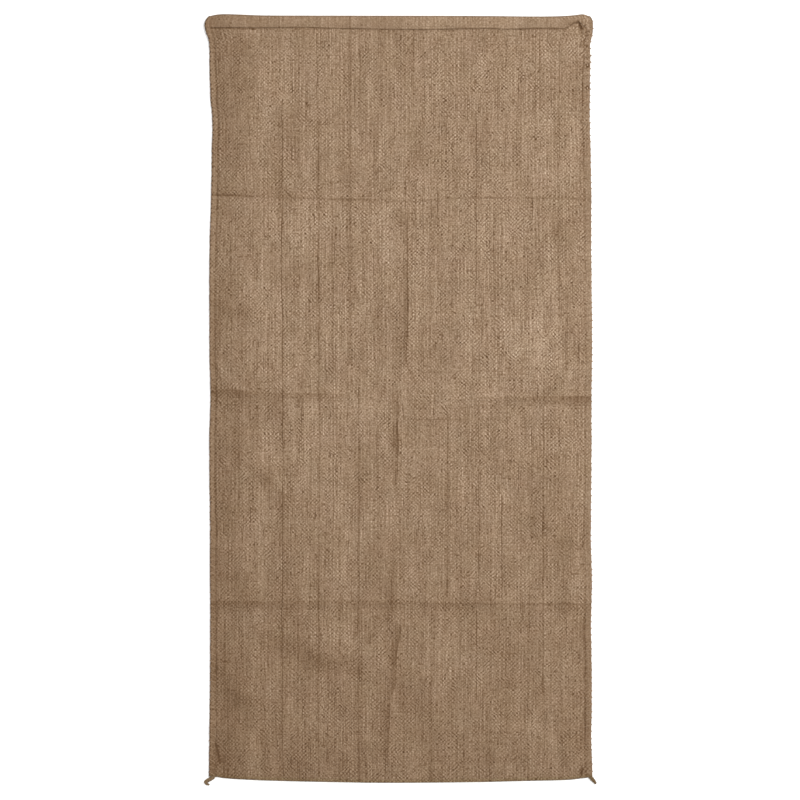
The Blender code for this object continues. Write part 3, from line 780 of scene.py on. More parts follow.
def build_sack():
    m = Mesh()
    cols = nominal_columns(5.8, STRIP, 1.75)
    extra = [278.5, 280.3, 282.0]                     # the tuck at the hem's right end
    cols = np.array(sorted(list(cols) + extra))
    rows = front_rows(3.5)
    n_open = len(rows)

    # --- front, outside: rows up to the hem line, the hem's step, the hem, the mouth's fold
    y = row_ys(rows, cols)
    hem, mouth = hem_line(cols)[None, :], mouth_line(cols)[None, :]
    step_y = np.concatenate([hem + s.dy for s in HEM_STEP])
    hem_shares = (0.16, 0.3, 0.44, 0.58, 0.72, 0.86)
    hem_y = np.concatenate([hem + 2.8 + (mouth - 3.4 - hem - 2.8) * s for s in hem_shares])
    fold_y = np.concatenate([mouth - s.dy for s in HEM_FOLD])
    y = np.concatenate([y, step_y, hem_y, fold_y])
    n_rows = len(y)
    side_y_l, side_y_r = y[:, 0], y[:, -1]
    # the outline is read at each side's own height
    xl = edges_at(side_y_l)[0][:, None]
    xr = edges_at(side_y_r)[1][:, None]
    c = cols[None, :]
    wl = 1.0 - smooth((c + HALF_WIDTH - 14.0) / 70.0)
    wr = 1.0 - smooth((HALF_WIDTH - c - 14.0) / 70.0)
    x = c + (xl + HALF_WIDTH) * wl + (xr - HALF_WIDTH) * wr
    dl, dr = x - xl, xr - x

    back, front = layers(x, y, xl, xr)
    lift = strip_lift(dl, dr)
    up = np.zeros(n_rows)
    up[n_open:n_open + len(HEM_STEP)] = [s.up for s in HEM_STEP]
    up[n_open + len(HEM_STEP):] = 1.0
    stepped = up[:, None]
    eased = smooth((y - hem + 19.0) / 26.0)
    in_strip_l = 1.0 - smooth((dl - 6.5) / 5.0)
    in_strip_r = 1.0 - smooth((dr - 6.5) / 5.0)
    in_strip = np.maximum(in_strip_l, in_strip_r)
    turn = HEM_TURN * (stepped + (eased - stepped) * in_strip)
    # the hem is padded by the raw edge inside it, and its stitches draw it in above its free edge
    t_hem = y - hem
    turn = turn * (1.0 + 0.1 * lattice(x, y, 30.0, 40.0, 71)) - 0.22 * np.exp(-((t_hem - 4.2) / 1.5) ** 2) * (up > 0.9)[:, None] * (1 - in_strip)
    press = np.exp(-np.maximum(0.0, hem - y) / 5.0) * (up < 0.01)[:, None] * (1 - in_strip)
    zin = front + lift
    zout = zin + CLOTH + turn - 0.25 * press + seam_shape(x, y, dl, dr)
    # tuck at the right end of the hem, and a fold into the corner
    for t in TUCKS:
        tuck = off_line(x, y, t)
        zout = zout - t.rise * np.exp(-(tuck / t.spread) ** 2)
    tuck = off_line(x, y, TUCKS[0])
    zout = zout + 0.4 * np.exp(-((tuck - 4.0) / 2.2) ** 2) * (x > 268)
    # mouth fold and bottom fold
    k0 = n_rows - len(HEM_FOLD)
    for q, s in enumerate(HEM_FOLD):
        zout[k0 + q] = zin[k0 + q] + (zout[k0 + q] - zin[k0 + q]) * s.up
    d = y - foot_line(x)
    nose = 1.45 + lift
    curl = np.sqrt(np.clip(1.0 - (1.0 - np.clip(d / 1.6, 0, 1)) ** 2, 0, 1))
    zout = nose + (zout - nose) * curl
    gap = (back + lift) + SEAM_GAP * 0.5 + 0.02
    zlip = np.minimum(gap, zout - 0.3)
    zlip[0] = nose[0]
    U = np.broadcast_to(c + HALF_WIDTH, x.shape)
    X, Z, UU = lips(x, xl, xr, np.where(np.arange(n_rows)[:, None] == 0, nose, gap), zout, U)
    n_lip = len(LIP)
    Y = np.concatenate([np.repeat(y[:, :1], n_lip, 1), y, np.repeat(y[:, -1:], n_lip, 1)], 1)
    DL, DR = X - xl, xr - X
    info = marks_at(X, Y, np.maximum(DL, 0), np.maximum(DR, 0))
    hem_mask = np.concatenate([np.zeros(n_open), np.clip(up[n_open:] * 1.6, 0, 1)])[:, None]
    fade_l = 1.0 - smooth((DL - 6.5) / 5.0)
    fade_r = 1.0 - smooth((DR - 6.5) / 5.0)
    soft = smooth((Y - hem_line(X) + 12.0) / 16.0)
    info["hem"] = hem_mask + (soft - hem_mask) * np.maximum(fade_l, fade_r)
    info["tuck_d"] = np.minimum.reduce([off_line(X, Y, t) for t in TUCKS])
    info["foot_d"] = Y - foot_line(X)
    info["mouth_d"] = mouth_line(X) - Y
    outer = m.add(X, Y, Z, **info)
    V = MOUTH_Y - Y
    split = n_open + 1                                  # the hem's chart starts in the groove
    bu, bv = bake_place(CHART_FRONT, UU, V + 2.0)
    m.grid(outer[:split], (UU[:split], V[:split]), (bu[:split], bv[:split]))
    m.grid(outer[split - 1:], (UU[split - 1:] + 1.1, -V[split - 1:]), (bu[split - 1:], bv[split - 1:]))
    uv_outer = np.stack([UU, V], 2)
    bake_outer = np.stack([bu, bv], 2)

    # --- front, inside
    keep = (cols >= -HALF_WIDTH + SEAM_BITE - 0.01) & (cols <= HALF_WIDTH - SEAM_BITE + 0.01)
    pick = np.where(keep)[0]
    thin = []
    last = -1e9
    for q in pick:
        near_spine = -22.0 < cols[q] < 16.0
        need = 3.4 if near_spine else (4.0 if min(cols[q] + HALF_WIDTH, HALF_WIDTH - cols[q]) < 40 else 11.0)
        if cols[q] - last >= need or q == pick[-1]:
            thin.append(q)
            last = cols[q]
    thin = np.array(thin)
    guide_rows = [i for i, r in enumerate(rows) if r[1] == 0.0 and i > 0]
    inner_rows = sorted(set(list(range(3, n_open - 1, 2)) + guide_rows + [n_open - 1]))
    hem_inside = [n_open + len(HEM_STEP) + 1, n_open + len(HEM_STEP) + 4]
    ir = np.array(inner_rows + hem_inside)
    xi, yi = x[np.ix_(ir, thin)], y[np.ix_(ir, thin)]
    zi = (front + lift)[np.ix_(ir, thin)]
    fold = []
    for s in HEM_FOLD_INSIDE:
        fx = x[-1:, thin]
        fy = (mouth - s.dy)[:, thin]
        base = zin[-1:, thin]
        full = CLOTH + HEM_TURN
        fold.append((fx, fy, base + full * s.up))
    xi = np.concatenate([xi] + [f[0] for f in fold])
    yi = np.concatenate([yi] + [f[1] for f in fold])
    zi = np.concatenate([zi] + [f[2] for f in fold])
    inner = m.add(xi, yi, zi)
    ui = np.broadcast_to(cols[thin][None, :] + HALF_WIDTH, xi.shape)
    vi = MOUTH_Y - yi
    biu, biv = bake_place(CHART_INNER_FRONT, ui, vi + 2.0)
    m.grid(inner, (ui, vi), (biu, biv), flip=True)
    uv_inner, bake_inner = np.stack([ui, vi], 2), np.stack([biu, biv], 2)

    # --- back, outside
    bcols = nominal_columns(13.0, (2.2, 5.2, 8.6, 12.4, 17.4, 25.5, 37.0, 50.0), 20.0)
    bl = [0.0, 0.35, 1.3, 3.0, 7.0] + between(7.0, HEM_Y - FOLD_Y - 60.0, 7.0)
    bl += [HEM_Y - FOLD_Y - q for q in (60, 53, 46, 40, 34, 28, 22, 16, 10.5, 6, 3, 1.2, 0.3)]
    bshare = np.array(bl)[:, None] / (HEM_Y - FOLD_Y)
    bfoot, bhem = foot_line(bcols)[None, :], hem_line(bcols)[None, :]
    by = bfoot + (bhem - bfoot) * bshare
    n_bopen = len(by)
    bmouth = mouth_line(bcols)[None, :] - 0.9 - 0.5 * lattice(bcols, 0 * bcols, 60.0, 9.0, 81)[None, :]
    by = np.concatenate([by] + [bhem + s.dy for s in HEM_STEP]
                        + [bhem + 2.8 + (bmouth - 3.4 - bhem - 2.8) * s for s in (0.33, 0.66)]
                        + [bmouth - s.dy for s in HEM_FOLD])
    bxl = edges_at(by[:, 0])[0][:, None]
    bxr = edges_at(by[:, -1])[1][:, None]
    bc = bcols[None, :]
    wl = 1.0 - smooth((bc + HALF_WIDTH - 14.0) / 70.0)
    wr = 1.0 - smooth((HALF_WIDTH - bc - 14.0) / 70.0)
    bx = bc + (bxl + HALF_WIDTH) * wl + (bxr - HALF_WIDTH) * wr
    bdl, bdr = bx - bxl, bxr - bx
    bback, _ = layers(bx, by, bxl, bxr)
    blift = strip_lift(bdl, bdr)
    bup = np.zeros(len(by))
    bup[n_bopen:n_bopen + len(HEM_STEP)] = [s.up for s in HEM_STEP]
    bup[n_bopen + len(HEM_STEP):] = 1.0
    bstep = bup[:, None]
    bease = smooth((by - bhem + 19.0) / 26.0)
    bstrip = np.maximum(1.0 - smooth((bdl - 6.5) / 5.0), 1.0 - smooth((bdr - 6.5) / 5.0))
    bturn = HEM_TURN * (bstep + (bease - bstep) * bstrip)
    bzin = bback + blift
    bz = np.maximum(0.0, bzin - CLOTH - bturn)
    k0 = len(by) - len(HEM_FOLD)
    for q, s in enumerate(HEM_FOLD):
        bz[k0 + q] = bzin[k0 + q] + (bz[k0 + q] - bzin[k0 + q]) * s.up
    bd = by - foot_line(bx)
    bnose = 1.45 + blift
    bcurl = np.sqrt(np.clip(1.0 - (1.0 - np.clip(bd / 1.6, 0, 1)) ** 2, 0, 1))
    bz = bnose + (bz - bnose) * bcurl
    bgap = bback + blift + SEAM_GAP * 0.5 - 0.02
    BX, BZ, BU = lips(bx, bxl, bxr, np.where(np.arange(len(by))[:, None] == 0, bnose, bgap), bz, np.broadcast_to(bc + HALF_WIDTH, bx.shape))
    BY = np.concatenate([np.repeat(by[:, :1], n_lip, 1), by, np.repeat(by[:, -1:], n_lip, 1)], 1)
    BDL, BDR = BX - bxl, bxr - BX
    binfo = {"edge_d": np.minimum(np.maximum(BDL, 0), np.maximum(BDR, 0)) * np.where(BDL < BDR, -1.0, 1.0),
             "seam_d": np.minimum(BDL, BDR) - seam_place(BY, BDL < BDR), "seam_dark": np.full(BX.shape, 0.6),
             "hem_d": BY - hem_line(BX), "foot_d": BY - foot_line(BX), "mouth_d": mouth_line(BX) - BY,
             "cross_d": np.full(BX.shape, 90.0), "spine_d": np.full(BX.shape, 90.0), "tuck_d": np.full(BX.shape, 90.0),
             "hook_d": np.full(BX.shape, 90.0),
             "front": np.zeros(BX.shape)}
    binfo["hem"] = np.broadcast_to(np.clip(bup * 1.6, 0, 1)[:, None], BX.shape)
    BV = 2 * (MOUTH_Y - FOLD_Y) - (MOUTH_Y - BY)
    # the fold at the bottom is one line of vertices, shared with the front where the columns meet
    under = m.add(BX[1:], BY[1:], BZ[1:], **{k: v[1:] for k, v in binfo.items()})
    bbu, bbv = bake_place(CHART_BACK, BU, MOUTH_Y - BY + 2.0)
    bsplit = n_bopen
    BU1, BV1, bbu1, bbv1 = BU[1:], BV[1:], bbu[1:], bbv[1:]
    m.grid(under[:bsplit], (BU1[:bsplit], BV1[:bsplit]), (bbu1[:bsplit], bbv1[:bsplit]), flip=True)
    m.grid(under[bsplit - 1:], (BU1[bsplit - 1:] + 1.1, -BV1[bsplit - 1:]), (bbu1[bsplit - 1:], bbv1[bsplit - 1:]), flip=True)
    uv_under, bake_under = np.stack([BU1, BV1], 2), np.stack([bbu1, bbv1], 2)

    # --- back, inside
    kcols = nominal_columns(24.0, (8.6, 12.4, 21.0, 37.0), 43.0)
    kl = [14.0] + between(14.0, HEM_Y - FOLD_Y - 56.0, 13.0)
    kl += [HEM_Y - FOLD_Y - q for q in (56, 46, 36, 27, 18, 9, 0)]
    kshare = np.array(kl)[:, None] / (HEM_Y - FOLD_Y)
    kfoot, khem = foot_line(kcols)[None, :], hem_line(kcols)[None, :]
    kmouth = mouth_line(kcols)[None, :] - 0.9 - 0.5 * lattice(kcols, 0 * kcols, 60.0, 9.0, 81)[None, :]
    ky = np.concatenate([kfoot + (khem - kfoot) * kshare] + [kmouth - s.dy for s in HEM_FOLD_INSIDE])
    kxl = edges_at(ky[:, 0])[0][:, None]
    kxr = edges_at(ky[:, -1])[1][:, None]
    kc = kcols[None, :]
    wl = 1.0 - smooth((kc + HALF_WIDTH - 14.0) / 70.0)
    wr = 1.0 - smooth((HALF_WIDTH - kc - 14.0) / 70.0)
    kx = kc + (kxl + HALF_WIDTH) * wl + (kxr - HALF_WIDTH) * wr
    kback, _ = layers(kx, ky, kxl, kxr)
    kz = kback + strip_lift(kx - kxl, kxr - kx)
    k0 = len(ky) - len(HEM_FOLD_INSIDE)
    for q, s in enumerate(HEM_FOLD_INSIDE):
        kz[k0 + q] = kz[k0 + q] - (CLOTH + HEM_TURN) * s.up
    floor_in = m.add(kx, ky, kz)
    ku = np.broadcast_to(kc + HALF_WIDTH, kx.shape)
    kv = 2 * (MOUTH_Y - FOLD_Y) - (MOUTH_Y - ky)
    kbu, kbv = bake_place(CHART_INNER_BACK, ku, MOUTH_Y - ky + 2.0)
    m.grid(floor_in, (ku, kv), (kbu, kbv))
    uv_floor, bake_floor = np.stack([ku, kv], 2), np.stack([kbu, kbv], 2)

    # --- joins
    # grooves between the lips, along both sides
    m.zip(under[:, 0], BY[1:, 0], uv_under[:, 0], bake_under[:, 0],
          outer[1:, 0], Y[1:, 0], uv_outer[1:, 0], bake_outer[1:, 0], flip=True)
    m.zip(under[:, -1], BY[1:, -1], uv_under[:, -1], bake_under[:, -1],
          outer[1:, -1], Y[1:, -1], uv_outer[1:, -1], bake_outer[1:, -1])
    # bottom fold, outside: the front's first row to the back's first kept row
    m.zip(outer[0], X[0], uv_outer[0], bake_outer[0], under[0], BX[1], uv_under[0], bake_under[0], flip=True)
    for side in (0, -1):
        tri = [outer[0, side], outer[1, side], under[0, side]]
        if side == -1:
            tri = tri[::-1]
        m.faces.append([int(t) for t in tri[::-1]])
        uvs = [uv_outer[0, side], uv_outer[1, side], uv_under[0, side]]
        bks = [bake_outer[0, side], bake_outer[1, side], bake_under[0, side]]
        if side == -1:
            uvs, bks = uvs[::-1], bks[::-1]
        m.cloth.append(np.array(uvs[::-1]))
        m.bake.append(np.array(bks[::-1]))
    # bottom fold, inside
    m.zip(inner[0], xi[0], uv_inner[0], bake_inner[0], floor_in[0], kx[0], uv_floor[0], bake_floor[0])
    # inner sides
    m.zip(inner[:, 0], yi[:, 0], uv_inner[:, 0], bake_inner[:, 0],
          floor_in[:, 0], ky[:, 0], uv_floor[:, 0], bake_floor[:, 0], flip=True)
    m.zip(inner[:, -1], yi[:, -1], uv_inner[:, -1], bake_inner[:, -1],
          floor_in[:, -1], ky[:, -1], uv_floor[:, -1], bake_floor[:, -1])
    # mouth: front outside to front inside, back inside to back outside, and both strips' ends
    cut_a = n_lip + int(pick[0])
    cut_b = n_lip + int(pick[-1])
    m.zip(outer[-1, cut_a:cut_b + 1], X[-1, cut_a:cut_b + 1], uv_outer[-1, cut_a:cut_b + 1], bake_outer[-1, cut_a:cut_b + 1],
          inner[-1], xi[-1], uv_inner[-1], bake_inner[-1], flip=True)
    bcut_a = n_lip + int(np.argmin(np.abs(bcols + HALF_WIDTH - SEAM_BITE)))
    bcut_b = n_lip + int(np.argmin(np.abs(bcols - HALF_WIDTH + SEAM_BITE)))
    m.zip(floor_in[-1], kx[-1], uv_floor[-1], bake_floor[-1],
          under[-1, bcut_a:bcut_b + 1], BX[-1, bcut_a:bcut_b + 1], uv_under[-1, bcut_a:bcut_b + 1], bake_under[-1, bcut_a:bcut_b + 1], flip=True)
    for a0, a1, b0, b1, ii, left in ((0, cut_a + 1, 0, bcut_a + 1, 0, True), (cut_b, None, bcut_b, None, -1, False)):
        m.zip(outer[-1, a0:a1], X[-1, a0:a1], uv_outer[-1, a0:a1], bake_outer[-1, a0:a1],
              under[-1, b0:b1], BX[-1, b0:b1], uv_under[-1, b0:b1], bake_under[-1, b0:b1], flip=True)
        oa, ub = (outer[-1, cut_a], under[-1, bcut_a]) if left else (outer[-1, cut_b], under[-1, bcut_b])
        quad = [oa, inner[-1, ii], floor_in[-1, ii], ub]
        uvq = [uv_inner[-1, ii]] * 2 + [uv_floor[-1, ii]] * 2
        bkq = [bake_inner[-1, ii]] * 2 + [bake_floor[-1, ii]] * 2
        if left:
            quad = quad[::-1]
        m.faces.append([int(q) for q in quad])
        m.cloth.append(np.array(uvq, float))
        m.bake.append(np.array(bkq, float))
    info_out = {"outer": (X, Y, Z), "rows": n_rows}
    return m.make("sack_cloth_woven"), info_out


sack, sack_info = build_sack()


# ---- twine: overcast stitches, hem stitches and free ends ----
def tube(name, paths, sides, closed_ends=True):
    """Joined round tubes. paths: (points in mm, radius at each point). Maps: u round, v along, in mm."""
    verts, faces, uvs, bakes = [], [], [], []
    total = sum(len(p[0]) for p in paths)
    done = 0
    for pts, radii in paths:
        pts, radii = np.asarray(pts, float), np.asarray(radii, float)
        n = len(pts)
        t = np.gradient(pts, axis=0)
        t /= np.linalg.norm(t, axis=1)[:, None] + 1e-9
        side = np.cross(t[0], (0.0, 0.0, 1.0))
        if np.linalg.norm(side) < 1e-3:
            side = np.array((1.0, 0.0, 0.0))
        frames = []
        for i in range(n):
            side = side - t[i] * np.dot(side, t[i])
            side /= np.linalg.norm(side)
            frames.append((side.copy(), np.cross(t[i], side)))
        length = np.concatenate([[0.0], np.cumsum(np.linalg.norm(np.diff(pts, axis=0), axis=1))])
        base = len(verts)
        for i in range(n):
            a, b = frames[i]
            for k in range(sides):
                w = 2 * math.pi * k / sides
                verts.append(pts[i] + radii[i] * (math.cos(w) * a + math.sin(w) * b))
        for i in range(n - 1):
            for k in range(sides):
                k1 = (k + 1) % sides
                faces.append([base + i * sides + k, base + i * sides + k1, base + (i + 1) * sides + k1, base + (i + 1) * sides + k])
                for di, dk in ((0, 0), (0, 1), (1, 1), (1, 0)):
                    uvs.append(((k + dk) / sides, length[i + di]))
                    bakes.append((0.02 + 0.96 * (done + i + di) / total, 0.1 + 0.8 * (k + dk) / sides))
        for i, flip in ((0, True), (n - 1, False)):
            cap = [base + i * sides + k for k in range(sides)]
            if flip:
                cap = cap[::-1]
            faces.append(cap)
            for k in range(sides):
                uvs.append((k / sides, length[i]))
                bakes.append((0.02 + 0.96 * (done + i) / total + 0.0004 * math.cos(6.28 * k / sides), 0.05 + 0.01 * math.sin(6.28 * k / sides)))
        done += n
    mesh = bpy.data.meshes.new(name)
    mesh.from_pydata((np.array(verts) * MM).tolist(), [], faces)
    uv = mesh.uv_layers.new(name="cloth")
    uv.data.foreach_set("uv", np.array(uvs, np.float32).ravel())
    bm = bmesh.new()
    bm.from_mesh(mesh)
    bmesh.ops.recalc_face_normals(bm, faces=bm.faces[:])
    bm.to_mesh(mesh)
    bm.free()
    mesh.shade_smooth()
    ob = bpy.data.objects.new(name, mesh)
    bpy.context.scene.collection.objects.link(ob)
    return ob


def curve_through(points, per):
    """Smooth curve through the given points, with so many places to a span."""
    p = np.asarray(points, float)
    q = np.concatenate([[2 * p[0] - p[1]], p, [2 * p[-1] - p[-2]]])
    out = []
    for i in range(1, len(q) - 2):
        for k in range(per):
            t = k / per
            out.append(0.5 * (2 * q[i] + (q[i + 1] - q[i - 1]) * t + (2 * q[i - 1] - 5 * q[i] + 4 * q[i + 1] - q[i + 2]) * t * t
                              + (3 * q[i] - q[i - 1] - 3 * q[i + 1] + q[i + 2]) * t ** 3))
    out.append(p[-1])
    return np.array(out)


class Surface:
    """Top of the finished sack, looked up from its own mesh grid."""

    def __init__(self, x, y, z):
        from mathutils import bvhtree
        n, k = x.shape
        verts = np.stack([x.ravel(), y.ravel(), z.ravel()], 1)
        i, j = np.meshgrid(np.arange(n - 1), np.arange(k - 1), indexing="ij")
        a = (i * k + j).ravel()
        quads = np.stack([a, a + 1, a + k + 1, a + k], 1)
        self.tree = bvhtree.BVHTree.FromPolygons(verts.tolist(), quads.tolist())

    def top(self, x, y, default=3.5):
        hit = self.tree.ray_cast((x, y, 60.0), (0.0, 0.0, -1.0))
        return hit[0].z if hit[0] is not None else default


surface = Surface(*sack_info["outer"])


# How each side is stitched: leg's slant as a share of the pitch, and its looseness.
Seam = namedtuple("Seam", "name sign first last slant loose seed")
SEAMS = (
    Seam("seam_stitches_left", -1, -588.0, 574.0, 0.34, 0.12, 5),
    Seam("seam_stitches_right", 1, -585.0, 590.0, 0.3, 0.3, 6),
)
Loop = namedtuple("Loop", "y out ring")                    # loose loops that show on the right edge
LOOPS = (Loop(551.0, 1.0, 0.5), Loop(537.0, 1.25, 0.3), Loop(524.0, 0.9, 1.3), Loop(498.0, 0.8, 0.0), Loop(488.0, 1.2, 1.3),
         Loop(467.0, 0.6, 0.0), Loop(430.0, 0.5, 0.0), Loop(385.0, 0.4, 0.0), Loop(120.0, 0.4, 0.0), Loop(-140.0, 0.4, 0.0),
         Loop(-390.0, 0.5, 0.0))


def overcast(seam):
    """One twine over and over the joined edge: in at the seam line, out over the edge, back below."""
    rng = np.random.default_rng(seam.seed)
    pts, radii = [], []
    y = seam.first
    while y < seam.last:
        pitch = STITCH_PITCH * (1.0 + rng.uniform(-0.1, 0.1))
        slant = pitch * (seam.slant + rng.uniform(-0.1, 0.1))
        loose = seam.loose * rng.uniform(0.2, 1.0)
        if seam.sign > 0:
            loose = loose + max(l.out * math.exp(-((y - l.y) / 5.0) ** 2) for l in LOOPS)
        sunk = 0.3 if seam.sign < 0 else 0.12
        bite = float(seam_place(y, seam.sign < 0)) + rng.uniform(-0.5, 0.5)

        def at(inward, dy, up, under=False):
            yy = y + dy
            edge = left_edge(yy) if seam.sign < 0 else right_edge(yy)
            x = float(edge) - seam.sign * inward
            if under:
                z = SEAM_LIFT - 0.1 - up
            else:
                z = surface.top(float(edge) - seam.sign * max(inward, 1.6), yy) + up
            return (x, yy, max(z, STITCH_R * 0.98))

        mid = 0.5 * (surface.top(float(left_edge(y) if seam.sign < 0 else right_edge(y)) - seam.sign * 2.0, y) + SEAM_LIFT)
        e = (-0.3 if seam.sign < 0 else 0.12) + 0.9 * loose
        pts += [
            at(bite + 0.5, 0.0, -0.9),
            at(bite - 0.9, 0.04 * pitch, -0.42 - sunk + 0.5 * loose),
            at(bite * 0.6, slant * 0.42, -0.3 - sunk + 0.9 * loose),
            at(2.2, slant * 0.8, -0.25 - sunk + 0.7 * loose),
        ]
        x_out = float(left_edge(y + slant) if seam.sign < 0 else right_edge(y + slant)) + seam.sign * e
        pts += [(x_out, y + slant, mid + 0.5), (x_out - seam.sign * 0.25, y + slant + 0.5, max(mid - 0.9, STITCH_R + 0.2))]
        pts += [
            at(2.4, slant + 0.14 * pitch, 0.0, under=True),
            at(bite * 0.7, slant + 0.36 * pitch, 0.0, under=True),
            at(bite, pitch - 0.8, -0.2, under=True),
        ]
        radii += [0.8, 1.0, 1.08, 1.02, 1.0, 0.98, 0.95, 0.95, 0.85]
        y += pitch
    path = curve_through(pts, 3)
    r = np.interp(np.linspace(0, len(radii) - 1, len(path)), np.arange(len(radii)), radii) * STITCH_R
    r = r * (1.0 + 0.07 * lattice(np.arange(len(path)), 0 * np.arange(len(path)), 5.0, 9.0, seam.seed))
    path[:, 2] = np.maximum(path[:, 2], r + 0.02)
    return tube(seam.name, [(path, r)], 7)


stitches_left = overcast(SEAMS[0])
stitches_right = overcast(SEAMS[1])


def hem_stitching():
    """Fine stitches just above the hem's free edge, sunk into the cloth."""
    rng = np.random.default_rng(9)
    paths = []
    x = -286.0
    while x < 262.0:
        n = HEM_STITCH_PITCH * (1.0 + rng.uniform(-0.08, 0.08))
        run = n * 0.72
        pts = []
        for t in (0.0, 0.16, 0.5, 0.84, 1.0):
            px = x + run * t
            py = float(hem_line(px)) + 4.2 + 0.35 * math.sin(px / 23.0) + rng.uniform(-0.08, 0.08)
            lift = (-0.45, -0.08, 0.12, -0.08, -0.45)[(0.0, 0.16, 0.5, 0.84, 1.0).index(t)]
            pts.append((px, py, surface.top(px, py) + lift))
        path = curve_through(pts, 3)
        paths.append((path, np.full(len(path), 0.42)))
        x += n
    return tube("hem_stitches", paths, 6)


hem_stitches = hem_stitching()

Strand = namedtuple("Strand", "x y width")          # width as a share of TWINE_R, as the solids have it
LEFT_END = (
    Strand(-294.6, -592.9, 1.0),
    Strand(-298.2, -594.6, 1.0),
    Strand(-302.0, -596.8, 0.98),
    Strand(-304.6, -599.0, 0.9),
    Strand(-303.9, -600.9, 0.75),
    Strand(-301.6, -602.2, 0.62),
    Strand(-298.6, -603.6, 0.48),
)
RIGHT_END = (
    Strand(299.6, -593.0, 1.0),
    Strand(301.6, -595.0, 0.95),
    Strand(303.6, -597.2, 0.85),
    Strand(305.4, -599.6, 0.7),
    Strand(307.0, -602.0, 0.45),
)


def free_end(name, rows, lead, seed):
    """Two plies laid round each other along the free end, spreading a little at the tip."""
    base = [(p[0], p[1], p[2], 0.8) for p in lead] + [(s.x, s.y, TWINE_R * s.width + 0.3, s.width) for s in rows]
    centre = curve_through([b[:3] for b in base], 8)
    width = np.interp(np.linspace(0, len(base) - 1, len(centre)), np.arange(len(base)), [b[3] for b in base])
    t = np.gradient(centre, axis=0)
    t /= np.linalg.norm(t, axis=1)[:, None]
    length = np.concatenate([[0.0], np.cumsum(np.linalg.norm(np.diff(centre, axis=0), axis=1))])
    paths = []
    for k in range(2):
        phase = 2 * math.pi * length / 8.5 + math.pi * k + seed
        side = np.cross(t, (0.0, 0.0, 1.0))
        side /= np.linalg.norm(side, axis=1)[:, None]
        up = np.cross(side, t)
        out = TWINE_R * width * 0.66
        pts = centre + (np.cos(phase) * out)[:, None] * side + (np.sin(phase) * out)[:, None] * up
        r = TWINE_R * width * 0.94
        r[-3:] *= (0.8, 0.55, 0.3)
        pts[:, 2] = np.maximum(pts[:, 2], r + 0.02)
        paths.append((pts, r))
    return tube(name, paths, 10)


end_left = free_end("twine_end_left", LEFT_END, ((-290.5, -589.5, 1.9),), 0.4)
end_right = free_end("twine_end_right", RIGHT_END, ((296.5, -589.6, 1.9),), 1.7)


# ---- materials ----
class Val:
    """A number in a material's nodes, with ordinary arithmetic."""

    def __init__(self, tree, socket):
        self.tree, self.socket = tree, socket

    def _op(self, kind, *others, clamp=False):
        node = self.tree.nodes.new("ShaderNodeMath")
        node.operation = kind
        node.use_clamp = clamp
        for i, v in enumerate((self,) + others):
            if isinstance(v, Val):
                self.tree.links.new(v.socket, node.inputs[i])
            else:
                node.inputs[i].default_value = float(v)
        return Val(self.tree, node.outputs[0])

    def _const(self, value):
        node = self.tree.nodes.new("ShaderNodeMath")
        node.operation = "ADD"
        node.inputs[0].default_value = float(value)
        node.inputs[1].default_value = 0.0
        return Val(self.tree, node.outputs[0])

    def __add__(self, o): return self._op("ADD", o)
    def __radd__(self, o): return self._op("ADD", o)
    def __sub__(self, o): return self._op("SUBTRACT", o)
    def __rsub__(self, o): return self._op("MULTIPLY", -1.0)._op("ADD", o)
    def __mul__(self, o): return self._op("MULTIPLY", o)
    def __rmul__(self, o): return self._op("MULTIPLY", o)
    def __truediv__(self, o): return self._op("DIVIDE", o)
    def __neg__(self): return self._op("MULTIPLY", -1.0)
    def floor(self): return self._op("FLOOR")
    def abs(self): return self._op("ABSOLUTE")
    def sqrt(self): return self._op("SQRT")
    def cos(self): return self._op("COSINE")
    def sin(self): return self._op("SINE")
    def exp(self): return self._op("EXPONENT")
    def power(self, o): return self._op("POWER", o)
    def max(self, o): return self._op("MAXIMUM", o)
    def min(self, o): return self._op("MINIMUM", o)
    def above(self, o): return self._op("GREATER_THAN", o)
    def below(self, o): return self._op("LESS_THAN", o)
    def near(self, o, reach): return self._op("COMPARE", o, reach)
    def clamp(self): return self._op("ADD", 0.0, clamp=True)

    def bell(self, reach):
        """1 at zero, falling off either way over about the reach."""
        q = self * (1.0 / reach)
        return (q * q * -1.0).exp()

    def ramp(self, lo, hi, a=0.0, b=1.0):
        node = self.tree.nodes.new("ShaderNodeMapRange")
        node.interpolation_type = "SMOOTHSTEP"
        self.tree.links.new(self.socket, node.inputs["Value"])
        for name, v in (("From Min", lo), ("From Max", hi), ("To Min", a), ("To Max", b)):
            node.inputs[name].default_value = float(v)
        return Val(self.tree, node.outputs["Result"])

    def mix(self, a, b):
        """a where this is 0, b where it is 1."""
        return self * (b - a) + a


